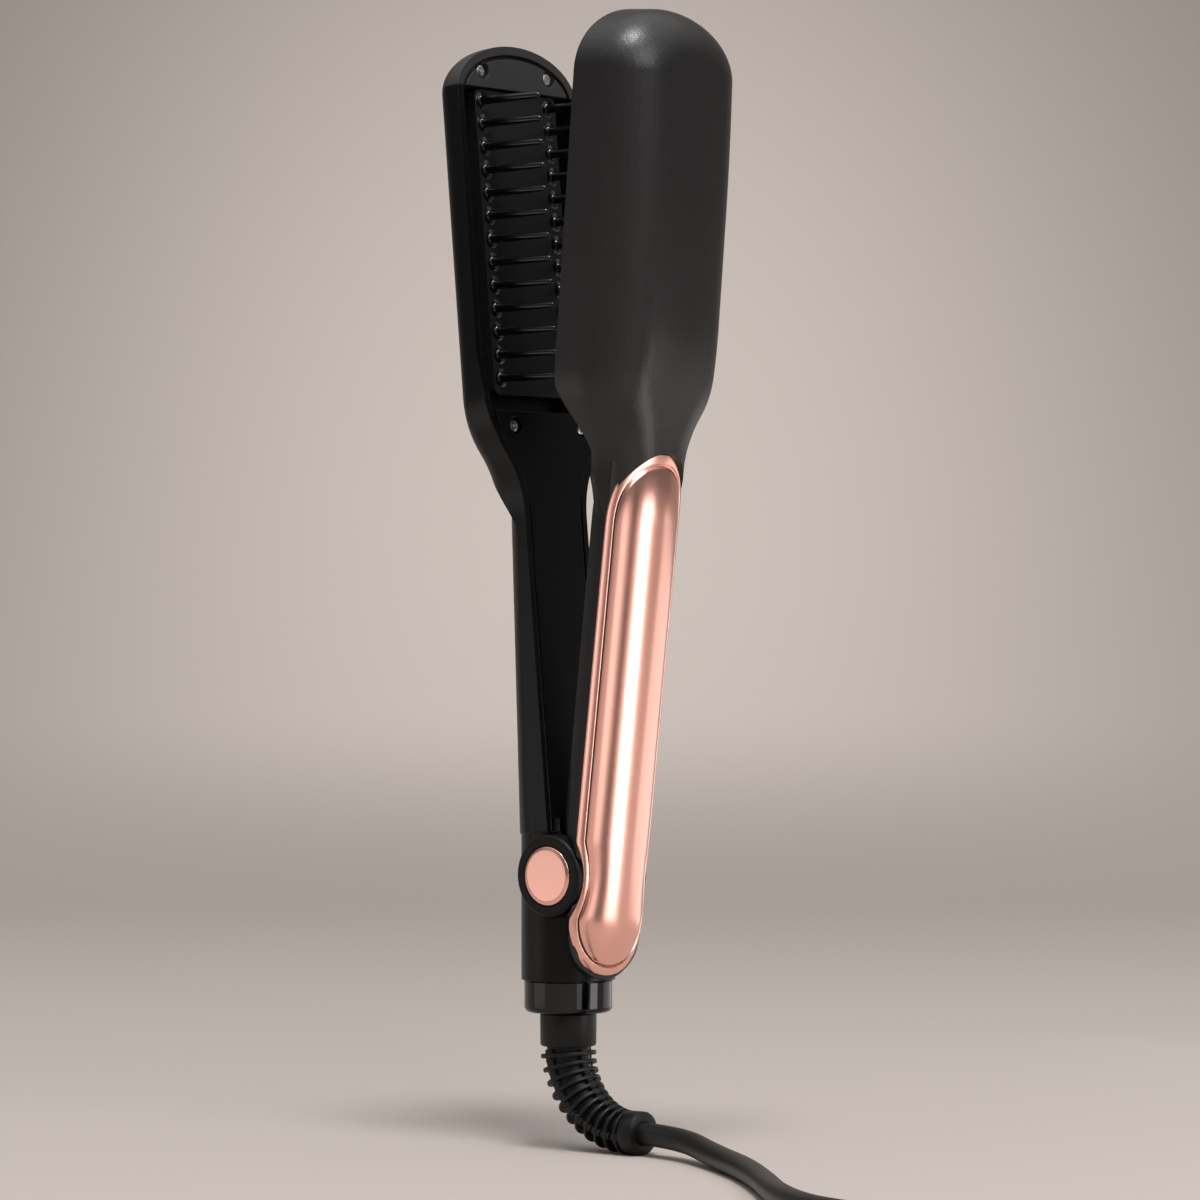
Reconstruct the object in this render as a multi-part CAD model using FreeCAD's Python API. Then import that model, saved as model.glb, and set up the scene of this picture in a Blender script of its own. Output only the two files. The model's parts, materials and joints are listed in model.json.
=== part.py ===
import FreeCAD, Part
import math
import os

from FreeCAD import Placement, Rotation, Vector

os.makedirs("parts", exist_ok=True)

# Driving sizes in millimetres. The origin is on the barrel's axis, at the middle of the collar ring.
# X is across the iron and the power button faces -X. The heated arm is in front, at -Y.

# Barrel, collar and cord swivel
barrel_radius = 14.1
barrel_bore_radius = 11.8
barrel_seam_y = 1.0
collar_radius = 13.25
collar_height = 9.4
collar_edge_radius = 1.6
collar_spigot_height = 5.0
shadow_gap = 0.4
swivel_neck_radius = 8.3
swivel_flange_radius = 10.4
swivel_flange_height = 2.4
swivel_bore_radius = 4.2
running_clearance = 0.06
fit_clearance = 0.1
boot_gap = 0.3

# Hinge
pivot_height = 36.8
pivot_forward = 6.0
arm_lean = 5.3
open_angle = 10.2
hinge_pin_radius = 2.5
cheek_inner_x = 8.0
cheek_outer_x = 10.4
cheek_radius = 11.6
ear_inner_x = 4.2
ear_outer_x = 7.6
ear_radius = 7.4
spring_wire = 1.2
spring_turns = 4
spring_gap = 0.7
spring_leg_lap = 4.0

# Button and its bezel
bezel_radius = 12.2
bezel_face_x = 16.6
bezel_floor = 1.2
bezel_edge_radius = 1.2
button_radius = 8.75
button_clearance = 0.3
button_thickness = 2.0
button_proud = 0.5
button_travel = 0.5
button_chamfer = 0.5
plunger_radius = 2.4
switch_board_thickness = 1.0
switch_width = 6.0
switch_height = 1.6
notch_clearance = 0.7
swing_clearance = 0.8
stem_clearance = 0.15

# Both heads, in the frame of the closed arms: the pivot is at zero and the arms run up +Z
head_half_width = 27.0
handle_half_width = 14.0
shell_wall = 2.0
seat_clearance = 0.15

# Comb arm, behind
comb_rim_y = 4.5
comb_depth = 10.3
comb_edge_radius = 7.0
comb_top = 251.0
comb_top_rise = 15.5
comb_neck_low = 108.0
comb_neck_high = 144.0
comb_rim_width = 2.6
rim_ramp_low = 132.0
rim_ramp_high = 156.0
neck_ramp = 26.0
tip_seam = 237.5
tip_groove_width = 1.4
tip_groove_depth = 1.6
cover_face_y = 0.8
cover_thickness = 2.2
cover_low = 17.0
cover_step = 139.0
handle_back_low = 20.0
handle_back_high = 13.3
handle_back_span = 118.0
handle_crown = 10.0
neck_overlap = 10.0
handle_reach = 14.0
handle_bezel_gap = 1.0
barrel_overlap = 2.0

# Comb insert
comb_plate_half_width = 18.2
comb_plate_low = 144.5
comb_plate_high = 236.9
comb_plate_corner = 2.0
comb_plate_recess = 1.2
comb_plate_thickness = 2.0
comb_skirt = 1.6
tooth_rows = 13
tooth_pitch = 7.0
tooth_first = 149.6
tooth_column_x = 15.0
tooth_length = 23.0
tooth_base_radius = 1.9
tooth_tip_radius = 1.0
tooth_flare_radius = 2.7
tooth_flare_height = 1.8
strip_half_width = 3.0
strip_thickness = 2.0

# Screws
screw_head_radius = 1.85
screw_head_height = 1.3
screw_shank_radius = 1.0
screw_shank_length = 5.0
counterbore_radius = 2.7
counterbore_depth = 2.0
tip_screw_x = 15.0
tip_screw_z = 242.6
neck_screw_x = 15.2
neck_screw_z = 134.6

# Heated arm, in front
plate_rim_y = 0.75
plate_depth = 22.3
plate_edge_radius = 14.0
plate_top = 257.5
plate_top_rise = 20.0
plate_neck_low = 121.0
plate_neck_high = 151.0
plate_neck_cut = 108.0
plate_cavity_low = 143.5
grip_half_width = 16.3
grip_rear_half_width = 12.9
grip_rear_y = -3.5
grip_side_y = -10.5
grip_crown_y = -15.4
grip_slope = -0.033
grip_end_height = 6.6
grip_low_rise = 15.0
grip_high = 124.0
grip_pocket_half_width = 11.4
trim_half_width = 16.8
trim_edge = 0.6
saddle_top = -11.0
saddle_lip = 0.8
neck_flank_top = 146.0
trim_thickness = 0.9
trim_end_inset = 1.0
trim_low_rise = 14.6
trim_high = 127.0
trim_high_rise = 21.0
back_cover_low = 28.0
back_screw_inset = 9.0
throat_low = 127.0
throat_high = 145.0
yoke_web_y = -9.7
yoke_low = -6.0
yoke_high = 16.0

# Heater inside the front head
heater_half_width = 10.8
heater_low = 150.0
heater_high = 234.0
heater_corner = 4.0
heater_plate_thickness = 3.0
heater_proud = 3.7
heater_gap = 0.2
element_half = 6.5
element_thickness = 2.4
element_margin = 9.0
carrier_wall = 1.8
fuse_radius = 1.6
fuse_length = 11.0
heater_lead_radius = 1.1
heater_lead_below = 6.5
lead_way_radius = 3.0

# Control board in the comb arm's handle
board_half_width = 8.5
board_low = 42.0
board_high = 112.0
board_thickness = 1.6
capacitor_radius = 3.2
capacitor_length = 12.0
triac_size = 6.0
lead_radius = 1.0
lead_x = 3.0

# Cord boot
boot_neck_radius = 8.5
boot_end_radius = 6.5
boot_neck_length = 10.0
boot_bend_radius = 24.2
boot_ribs = 11
boot_rib_depth = 1.5
boot_rib_share = 0.62
boot_end_length = 5.5

# Power cord, its coil and its plug
cord_diameter = 7.0
coil_outer_radius = 46.5
coil_half_turns = 5
coil_turn_pitch = 7.6
coil_layer_step = 7.6
coil_over_radius = 30.0
coil_over_turn = 135.0
coil_tail = 4.0
coil_check_step = 3.0
tie_width = 9.0
tie_wall = 1.4
tie_clearance = 0.4
plug_length = 36.0
plug_width = 34.0
plug_height = 14.0
plug_rest_gap = 0.5
plug_edge_radius = 6.0
plug_sleeve_radius = 5.5
plug_sleeve_length = 14.0
plug_pin_radius = 2.4
plug_pin_length = 19.0
plug_pin_spacing = 18.6

# A cutting length that passes every piece, and a short one that clears a face
beyond = 400.0
past = 1.0

# Worked out from the sizes above
pivot = Vector(0, -pivot_forward, pivot_height)
grip_low = grip_end_height - pivot_height
trim_low = grip_low + trim_end_inset
x_axis = Vector(1, 0, 0)
comb_pose = Placement(pivot, Rotation(x_axis, -arm_lean))
plate_pose = Placement(pivot, Rotation(x_axis, open_angle - arm_lean))
collar_top = collar_height / 2
collar_bottom = -collar_height / 2
barrel_bottom = collar_top + shadow_gap
comb_back_y = comb_rim_y + comb_depth
comb_floor_y = comb_back_y - shell_wall
comb_face_y = comb_rim_y + comb_plate_recess
plate_front_y = plate_rim_y - plate_depth
plate_floor_y = plate_front_y + shell_wall


def cylinder_x(radius, x_from, x_to, y=0.0, z=0.0):
    return Part.makeCylinder(radius, x_to - x_from, Vector(x_from, y, z), x_axis)


def cylinder_z(radius, z_from, z_to):
    return Part.makeCylinder(radius, z_to - z_from, Vector(0, 0, z_from))


def block(x_from, x_to, y_from, y_to, z_from, z_to):
    corner = Vector(x_from, y_from, z_from)
    return Part.makeBox(x_to - x_from, y_to - y_from, z_to - z_from, corner)


def posed(shape, pose):
    return shape.transformed(pose.toMatrix(), True)


def grip_rear(z):
    # The sloping rear face of the heated arm's grip
    return grip_rear_y + grip_slope * z


def write(name, shapes):
    shape = shapes if isinstance(shapes, Part.Shape) else Part.makeCompound(shapes)
    shape.exportStep("parts/" + name + ".step")
    print(name, len(shape.Solids), "solids", round(shape.Volume), "mm3", shape.isValid())


def slab(edges, y_from, y_to):
    # A flat outline drawn in X and Z, thickened along Y
    face = Part.Face(Part.Wire(edges))
    face.translate(Vector(0, 0, -y_from))
    solid = face.extrude(Vector(0, 0, y_from - y_to))
    return solid.rotated(Vector(0, 0, 0), x_axis, 90)


def line(start, end):
    return Part.LineSegment(Vector(*start, 0), Vector(*end, 0)).toShape()


def arc(start, middle, end):
    return Part.Arc(Vector(*start, 0), Vector(*middle, 0), Vector(*end, 0)).toShape()


def half_ellipse(half_width, base, tip):
    # Half an ellipse across the arm, with its tip above or below its base
    centre = Vector(0, base, 0)
    side_point = Vector(half_width, base, 0)
    tip_point = Vector(0, tip, 0)
    if abs(tip - base) > half_width:
        curve = Part.Ellipse(tip_point, side_point, centre)
        return Part.ArcOfEllipse(curve, -math.pi / 2, math.pi / 2).toShape()
    curve = Part.Ellipse(side_point, tip_point, centre)
    return Part.ArcOfEllipse(curve, 0, math.pi).toShape()


def paddle_outline(half_width, neck_half, neck_low, neck_high, bottom, top, rise):
    # Straight handle, a neck of two equal arcs on each side, straight sides and an elliptic top
    step = half_width - neck_half
    reach = neck_high - neck_low
    radius = (step ** 2 + reach ** 2) / (4 * step)
    quarter = math.atan(step / reach)
    side = radius * (1 - math.cos(quarter))
    climb = radius * math.sin(quarter)
    middle = (neck_half + step / 2, neck_low + reach / 2)
    right = [
        ((neck_half, bottom), (neck_half, neck_low)),
        ((neck_half, neck_low), (neck_half + side, neck_low + climb), middle),
        (middle, (half_width - side, neck_high - climb), (half_width, neck_high)),
        ((half_width, neck_high), (half_width, top - rise)),
    ]
    edges = [half_ellipse(half_width, top - rise, top)]
    for run in right:
        for sign in (1, -1):
            points = [(sign * x, z) for x, z in run]
            edges.append(arc(*points) if len(points) == 3 else line(*points))
    edges.append(line((-neck_half, bottom), (neck_half, bottom)))
    return Part.__sortEdges__(edges)


def round_rectangle(half_width, low, high, corner):
    flat = half_width - corner
    diagonal = corner * (1 - math.sqrt(0.5))
    edges = [line((-flat, low), (flat, low)), line((-flat, high), (flat, high))]
    for sign in (1, -1):
        x = sign * half_width
        edges.append(line((x, low + corner), (x, high - corner)))
        near = sign * (half_width - diagonal)
        edges.append(arc((sign * flat, low), (near, low + diagonal), (x, low + corner)))
        edges.append(arc((sign * flat, high), (near, high - diagonal), (x, high - corner)))
    return Part.__sortEdges__(edges)


def grip_outline(half_width, low, low_rise, high, high_rise):
    # A long strip with an elliptic lower end, and an elliptic upper end where it has a rise
    base = low + low_rise
    crest = high - high_rise
    edges = [half_ellipse(half_width, base, low)]
    for sign in (1, -1):
        edges.append(line((sign * half_width, base), (sign * half_width, crest)))
    if high_rise > 0:
        edges.append(half_ellipse(half_width, crest, high))
    else:
        edges.append(line((-half_width, high), (half_width, high)))
    return Part.__sortEdges__(edges)


def d_section(rear_half, half_width, flat_y, side_y, crown_y, z):
    # A flat side, two straight flanks and a round back
    corners = [(-rear_half, flat_y), (rear_half, flat_y), (half_width, side_y), (-half_width, side_y)]
    points = [Vector(x, y, z) for x, y in corners]
    edges = [Part.LineSegment(points[i], points[i + 1]).toShape() for i in (0, 1)]
    edges.append(Part.Arc(points[2], Vector(0, crown_y, z), points[3]).toShape())
    edges.append(Part.LineSegment(points[3], points[0]).toShape())
    return Part.Wire(edges)


def edges_on_y(solid, y, above):
    # The edges of a slab's face at this Y, apart from the cut across its lower end
    chosen = []
    for edge in solid.Edges:
        box = edge.BoundBox
        flat = abs(box.YMin - y) < 1e-4 and abs(box.YMax - y) < 1e-4
        if flat and box.ZMax > above:
            chosen.append(edge)
    return chosen


# Comb arm: head, handle and the rear half of the barrel in one hollow shell
def comb_outline(inset, bottom):
    half_width = head_half_width - inset
    neck_half = handle_half_width - inset
    top = comb_top - inset
    return paddle_outline(half_width, neck_half, comb_neck_low, comb_neck_high, bottom, top,
                          comb_top_rise - inset)


def comb_handle(inset, low, high):
    # The handle's back leans in from the barrel to the neck
    sections = []
    slope = (handle_back_high - handle_back_low) / handle_back_span
    for z in (low, high):
        crown = handle_back_low + slope * z
        half_width = handle_half_width - inset
        side_y = crown - handle_crown
        sections.append(d_section(half_width, half_width, cover_face_y, side_y, crown - inset, z))
    return Part.makeLoft(sections, True, True)


def side_wedge(points):
    # A shape drawn in Y and Z that runs right across the arm
    corners = [Vector(-beyond, y, z) for y, z in points]
    face = Part.Face(Part.makePolygon(corners + corners[:1]))
    return face.extrude(Vector(2 * beyond, 0, 0))


handle_cut = comb_neck_low - neck_overlap
head_block = slab(comb_outline(0, handle_cut), cover_face_y, comb_back_y)
head_block = head_block.makeFillet(comb_edge_radius, edges_on_y(head_block, comb_back_y, handle_cut + past))
rim_ramp = side_wedge([
    (comb_rim_y, beyond),
    (comb_rim_y, rim_ramp_high),
    (cover_face_y, rim_ramp_low),
    (-beyond, rim_ramp_low),
    (-beyond, beyond),
])
neck_slope = side_wedge([
    (cover_face_y, handle_cut - past),
    (comb_back_y + past, handle_cut - past),
    (comb_back_y + past, handle_cut + neck_ramp),
    (cover_face_y, handle_cut),
])
head_block = head_block.cut(rim_ramp).cut(neck_slope)
head_pocket = slab(comb_outline(comb_rim_width, handle_cut), -beyond, comb_floor_y)
floor_edges = edges_on_y(head_pocket, comb_floor_y, handle_cut + past)
head_pocket = head_pocket.makeFillet(comb_edge_radius - shell_wall, floor_edges)
neck_wall = neck_slope.copy()
neck_wall.translate(Vector(0, 0, 2 * shell_wall))
head_pocket = head_pocket.cut(neck_slope).cut(neck_wall)
below_tip = block(-beyond, beyond, -beyond, beyond, -beyond, tip_seam)

handle_low = bezel_radius + handle_bezel_gap
handle_block = comb_handle(0, handle_low, comb_neck_low + handle_reach)
handle_pocket = comb_handle(shell_wall, -past, comb_neck_low + neck_overlap)

half_barrel = cylinder_z(barrel_radius, barrel_bottom, pivot_height + handle_low + barrel_overlap)
rear_side = block(-beyond, beyond, barrel_seam_y, beyond, -beyond, beyond)
front_side = block(-beyond, beyond, -beyond, barrel_seam_y, -beyond, beyond)
barrel_bore = cylinder_z(barrel_bore_radius, -beyond, pivot_height + handle_low + 2 * barrel_overlap)
bezel_seats = []
for sign in (1, -1):
    near, far = sorted((sign * cheek_outer_x, sign * beyond))
    bezel_seats.append(cylinder_x(bezel_radius + fit_clearance, near, far, -pivot_forward, pivot_height))

comb_shell = head_block.common(below_tip).fuse(handle_block)
comb_shell = posed(comb_shell.cut(head_pocket).cut(handle_pocket), comb_pose)
comb_shell = comb_shell.fuse(half_barrel.common(rear_side).cut(barrel_bore))
comb_shell = comb_shell.cut(posed(handle_pocket, comb_pose))
for seat in bezel_seats:
    comb_shell = comb_shell.cut(seat)
write("comb_arm_shell", comb_shell.removeSplitter())


# Screws: countersunk-looking pan heads that sit in counterbores on the inner faces
def screw(x, face_y, z):
    head = Part.makeCylinder(screw_head_radius, screw_head_height, Vector(x, face_y, z), Vector(0, 1, 0))
    shank_length = screw_head_height + screw_shank_length
    shank = Part.makeCylinder(screw_shank_radius, shank_length, Vector(x, face_y, z), Vector(0, 1, 0))
    return head.fuse(shank).removeSplitter()


def screw_hole(x, face_y, z):
    # A counterbore from the face down to the head's seat, and the shank's hole below it
    seat_y = face_y + counterbore_depth
    wide = Part.makeCylinder(counterbore_radius, counterbore_depth, Vector(x, face_y, z), Vector(0, 1, 0))
    depth = counterbore_depth + screw_shank_length + fit_clearance
    narrow_radius = screw_shank_radius + fit_clearance
    narrow = Part.makeCylinder(narrow_radius, depth, Vector(x, face_y, z), Vector(0, 1, 0))
    return wide.fuse(narrow), seat_y - screw_head_height


# Tip cap: the rounded end of the comb arm, with a groove inside its rim
above_tip = block(-beyond, beyond, -beyond, beyond, tip_seam, beyond)
tip_cap = head_block.common(above_tip)
groove_floor_y = comb_rim_y + tip_groove_depth
groove_outer = slab(comb_outline(comb_rim_width, handle_cut), comb_rim_y - past, groove_floor_y)
groove_inset = comb_rim_width + tip_groove_width
groove_inner = slab(comb_outline(groove_inset, handle_cut), comb_rim_y - 2 * past, comb_back_y)
tip_cap = tip_cap.cut(groove_outer.cut(groove_inner))
tip_screws = []
for sign in (1, -1):
    hole, head_y = screw_hole(sign * tip_screw_x, comb_rim_y, tip_screw_z)
    tip_cap = tip_cap.cut(hole)
    tip_screws.append(posed(screw(sign * tip_screw_x, head_y, tip_screw_z), comb_pose))
write("comb_tip_cap", posed(tip_cap, comb_pose))
write("tip_screws", tip_screws)

# Comb plate: a tray that stands on the shell's floor, with a hole for each tooth
tray = slab(round_rectangle(comb_plate_half_width, comb_plate_low, comb_plate_high, comb_plate_corner),
            comb_face_y, comb_floor_y)
tray_inner = round_rectangle(comb_plate_half_width - comb_skirt, comb_plate_low + comb_skirt,
                             comb_plate_high - comb_skirt, comb_plate_corner / 2)
strip_face_y = comb_face_y + comb_plate_thickness
tray = tray.cut(slab(tray_inner, strip_face_y, comb_floor_y + past))
tooth_rise = [tooth_first + tooth_pitch * row for row in range(tooth_rows)]
lean = math.radians(arm_lean)
tooth_way = Vector(0, -math.cos(lean), -math.sin(lean))
hole_radius = tooth_flare_radius + fit_clearance
for x in (tooth_column_x, -tooth_column_x):
    for z in tooth_rise:
        depth = comb_plate_thickness + 2 * tooth_flare_radius
        start = Vector(x, comb_face_y - tooth_flare_radius, z)
        tray = tray.cut(Part.makeCylinder(hole_radius, depth, start, Vector(0, 1, 0)))
write("comb_plate", posed(tray, comb_pose))


# Comb strips: a column of level, tapered teeth on a strip behind the comb plate
def comb_tooth(x, z):
    foot = Vector(x, comb_face_y, z)
    stub = Part.makeCylinder(tooth_flare_radius, comb_plate_thickness + strip_thickness / 2, foot,
                             Vector(0, 1, 0))
    flare = Part.makeCone(tooth_flare_radius, tooth_base_radius, tooth_flare_height, foot, tooth_way)
    blade = Part.makeCone(tooth_base_radius, tooth_tip_radius, tooth_length, foot, tooth_way)
    tip = Part.makeSphere(tooth_tip_radius, foot + tooth_way * tooth_length)
    return stub.fuse([flare, blade, tip])


strip_inset = comb_skirt + comb_plate_corner / 2
for name, x in (("near_comb_strip", -tooth_column_x), ("far_comb_strip", tooth_column_x)):
    strip = block(x - strip_half_width, x + strip_half_width, strip_face_y, strip_face_y + strip_thickness,
                  comb_plate_low + strip_inset, comb_plate_high - strip_inset)
    inside_x = comb_plate_half_width - comb_skirt - seat_clearance
    strip = strip.common(block(-inside_x, inside_x, -beyond, beyond, -beyond, beyond))
    strip = strip.fuse([comb_tooth(x, z) for z in tooth_rise])
    write(name, posed(strip.removeSplitter(), comb_pose))

# Inner cover of the comb arm's handle, up to the step below the comb
cover_outline = comb_outline(comb_rim_width + seat_clearance, cover_low)
cover = slab(cover_outline, cover_face_y, cover_face_y + cover_thickness)
cover = cover.common(block(-beyond, beyond, -beyond, beyond, cover_low, cover_step))
step_depth_y = comb_floor_y - comb_edge_radius + shell_wall
step_wall = slab(cover_outline, cover_face_y, step_depth_y)
step_low = cover_step - cover_thickness
step_wall = step_wall.common(block(-beyond, beyond, -beyond, beyond, step_low, cover_step))
cover = cover.fuse(step_wall)
neck_screws = []
for sign in (1, -1):
    post_radius = counterbore_radius + shell_wall / 2
    post = Part.makeCylinder(post_radius, step_depth_y - cover_face_y,
                             Vector(sign * neck_screw_x, cover_face_y, neck_screw_z), Vector(0, 1, 0))
    hole, head_y = screw_hole(sign * neck_screw_x, cover_face_y, neck_screw_z)
    cover = cover.fuse(post.common(slab(cover_outline, cover_face_y, step_depth_y))).cut(hole)
    neck_screws.append(posed(screw(sign * neck_screw_x, head_y, neck_screw_z), comb_pose))
write("handle_inner_cover", posed(cover.removeSplitter(), comb_pose))
write("neck_screws", neck_screws)

# Front half of the barrel: two cheeks that carry the hinge pin, with a slot between them
front_barrel = half_barrel.common(front_side)
lower_bore_top = pivot_height - bezel_radius - shell_wall
front_barrel = front_barrel.cut(cylinder_z(barrel_bore_radius, -beyond, lower_bore_top))
slot_low = saddle_top - swing_clearance
front_barrel = front_barrel.cut(
    block(-cheek_inner_x, cheek_inner_x, -beyond, beyond, pivot_height + slot_low, beyond))
room_rear_y = grip_rear(saddle_top) + swing_clearance
grip_room = posed(block(-beyond, beyond, -beyond, room_rear_y, slot_low, grip_high), plate_pose)
front_barrel = front_barrel.cut(grip_room)
closed_room = block(-beyond, beyond, -beyond, cover_face_y, 0, beyond)
front_barrel = front_barrel.cut(posed(closed_room, comb_pose))
front_barrel = front_barrel.cut(posed(comb_handle(-seat_clearance, handle_low, comb_neck_low), comb_pose))
for sign in (1, -1):
    near, far = sorted((sign * cheek_inner_x, sign * cheek_outer_x))
    cheek = cylinder_x(cheek_radius, near, far, -pivot_forward, pivot_height)
    cheek = cheek.cut(posed(cover, comb_pose))
    front_barrel = front_barrel.fuse(cheek.common(front_side))
for seat in bezel_seats:
    front_barrel = front_barrel.cut(seat)
pin_hole = cylinder_x(hinge_pin_radius + fit_clearance / 2, -beyond, beyond, -pivot_forward, pivot_height)
front_barrel = front_barrel.cut(pin_hole)
lower_ring = half_barrel.common(front_side).common(
    block(-beyond, beyond, -beyond, beyond, -beyond, barrel_bottom + shell_wall))
front_barrel = front_barrel.fuse(lower_ring.cut(barrel_bore))
write("barrel_front_half", front_barrel.removeSplitter())

# Hinge pin and the torsion spring wound on it
pin_end = cheek_outer_x - fit_clearance
write("hinge_pin", cylinder_x(hinge_pin_radius, -pin_end, pin_end, -pivot_forward, pivot_height))

# The spring's coil is drawn as one sleeve between the hinge ears, with a leg up the comb arm's cover
spring_inner = hinge_pin_radius + spring_gap
spring_outer = spring_inner + spring_wire
spring_half = spring_turns * spring_wire / 2
spring = cylinder_x(spring_outer, -spring_half, spring_half, -pivot_forward, pivot_height)
spring_leg_top = cover_low + spring_leg_lap
spring_leg = block(-spring_half, -spring_half + spring_wire, spring_inner, spring_outer, 0, spring_leg_top)
spring = spring.fuse(posed(spring_leg, comb_pose))
spring = spring.cut(cylinder_x(spring_inner, -beyond, beyond, -pivot_forward, pivot_height))
write("opening_spring", spring.removeSplitter())


# Power button: bezel, switch and the cap that slides in it along X
def button_part(radius, x_from, x_to):
    # A disc on the hinge axis; distances are measured out towards the button's face
    return cylinder_x(radius, -x_to, -x_from, -pivot_forward, pivot_height)


def rim_at_x(solid, x, radius):
    # The circular edges of this radius at this X
    chosen = []
    for edge in solid.Edges:
        box = edge.BoundBox
        flat = abs(box.XMin - x) < 1e-4 and abs(box.XMax - x) < 1e-4
        if flat and abs(box.YLength / 2 - radius) < 1e-3:
            chosen.append(edge)
    return chosen


bezel = button_part(bezel_radius, cheek_outer_x, bezel_face_x)
bezel = bezel.makeFillet(bezel_edge_radius, rim_at_x(bezel, -bezel_face_x, bezel_radius))
bezel_floor_x = cheek_outer_x + bezel_floor
bezel = bezel.cut(button_part(button_radius + button_clearance, bezel_floor_x, bezel_face_x + past))
write("button_bezel", bezel)

board_face_x = bezel_floor_x + switch_board_thickness
write("switch_board", button_part(button_radius, bezel_floor_x, board_face_x))

switch_face_x = board_face_x + switch_height
half_switch = switch_width / 2
switch = block(-switch_face_x, -board_face_x, -half_switch, half_switch, -half_switch, half_switch)
switch.translate(pivot)
stem_radius = plunger_radius - shell_wall / 2
stem_floor_x = board_face_x + stem_clearance
switch = switch.cut(button_part(stem_radius + stem_clearance, stem_floor_x, switch_face_x + past))
write("tact_switch", switch)

button_face_x = bezel_face_x + button_proud
button_back_x = button_face_x - button_thickness
button = button_part(button_radius, button_back_x, button_face_x)
button = button.makeChamfer(button_chamfer, rim_at_x(button, -button_face_x, button_radius))
plunger_end_x = switch_face_x + button_travel + stem_clearance
button = button.fuse(button_part(plunger_radius, plunger_end_x, button_back_x + past))
write("power_button", button.removeSplitter())
stem_end_x = stem_floor_x + button_travel + stem_clearance
write("switch_stem", button_part(stem_radius, stem_end_x, plunger_end_x))

# Plain cap on the far end of the hinge
far_cap_face_x = bezel_face_x - bezel_edge_radius
far_cap = cylinder_x(bezel_radius, cheek_outer_x, far_cap_face_x, -pivot_forward, pivot_height)
far_cap = far_cap.makeFillet(bezel_edge_radius, rim_at_x(far_cap, far_cap_face_x, bezel_radius))
write("far_pivot_cap", far_cap)

# Collar ring with a spigot up into the barrel, and the bush that swivels in it
collar = cylinder_z(collar_radius, collar_bottom, collar_top)
lower_rim = [edge for edge in collar.Edges if edge.BoundBox.ZMax < collar_bottom + 1e-4]
collar = collar.makeFillet(collar_edge_radius, lower_rim)
spigot_top = collar_top + collar_spigot_height
collar = collar.fuse(cylinder_z(barrel_bore_radius - fit_clearance, collar_top, spigot_top))
collar = collar.cut(cylinder_z(swivel_neck_radius + running_clearance, -beyond, beyond))
flange_low = collar_top - swivel_flange_height - fit_clearance
collar = collar.cut(cylinder_z(swivel_flange_radius + running_clearance, flange_low - fit_clearance, beyond))
write("collar_ring", collar.removeSplitter())

boot_top = collar_bottom - boot_gap
bush = cylinder_z(swivel_neck_radius, boot_top, flange_low + swivel_flange_height)
bush = bush.fuse(cylinder_z(swivel_flange_radius, flange_low, flange_low + swivel_flange_height))
bush = bush.cut(cylinder_z(swivel_bore_radius, -beyond, beyond))
write("swivel_bush", bush.removeSplitter())

# Control board behind the handle's cover, with its capacitor and triac
board_face_y = cover_face_y + cover_thickness + seat_clearance
board_back_y = board_face_y + board_thickness
board = block(-board_half_width, board_half_width, board_face_y, board_back_y, board_low, board_high)
write("control_board", posed(board, comb_pose))
board_middle = (board_low + board_high) / 2
capacitor_start = Vector(0, board_back_y + capacitor_radius, board_middle)
capacitor = Part.makeCylinder(capacitor_radius, capacitor_length, capacitor_start)
write("supply_capacitor", posed(capacitor, comb_pose))
half_triac = triac_size / 2
triac_low = board_middle - capacitor_length - triac_size
triac_back_y = board_back_y + half_triac
triac = block(-half_triac, half_triac, board_back_y, triac_back_y, triac_low, triac_low + triac_size)
write("triac", posed(triac, comb_pose))

# Two leads from the swivel up to the lower end of the board
lead_start_z = flange_low + swivel_flange_height + boot_gap
lead_end = comb_pose.multVec(Vector(0, board_face_y + lead_radius, board_low))
leads = []
for sign in (1, -1):
    start = Vector(sign * lead_x, lead_end.y, lead_start_z)
    leads.append(Part.makeCylinder(lead_radius, lead_end.z - lead_start_z - lead_radius, start))
write("supply_leads", leads)

# Heated arm: a deep hollow head on a slim grip, whose lower end covers the front of the barrel
plate_neck_half = trim_half_width + trim_edge


def plate_outline(inset, bottom):
    return paddle_outline(head_half_width - inset, plate_neck_half - inset, plate_neck_low, plate_neck_high,
                          bottom, plate_top - inset, plate_top_rise - inset)


def grip_loft(rear_half, half_width, rear_y, side_y, crown_y, low, high):
    # Every face of the grip leans by the same slope
    sections = []
    for z in (low, high):
        shift = grip_slope * z
        sections.append(d_section(rear_half, half_width, rear_y + shift, side_y + shift, crown_y + shift, z))
    return Part.makeLoft(sections, True, True)


def head_slab(inset, front_y, edge_radius, bottom):
    solid = slab(plate_outline(inset, bottom), plate_rim_y, front_y)
    return solid.makeFillet(edge_radius, edges_on_y(solid, front_y, bottom + past))


def neck_flank(sign):
    # The sloping flank of the grip, running out into the side of the head
    low = plate_neck_cut - past
    rear_y = grip_rear(low) + past
    side_y = grip_side_y + grip_slope * low
    outside = head_half_width + past
    low_corners = [(grip_rear_half_width - past, rear_y), (grip_half_width, side_y), (outside, side_y),
                   (outside, rear_y)]
    top_corners = [(outside, rear_y), (outside, side_y), (outside + past, side_y), (outside + past, rear_y)]
    wires = []
    for z, corners in ((low, low_corners), (neck_flank_top, top_corners)):
        points = [Vector(sign * x, y, z) for x, y in corners]
        wires.append(Part.makePolygon(points + points[:1]))
    return Part.makeLoft(wires, True, True)


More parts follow.
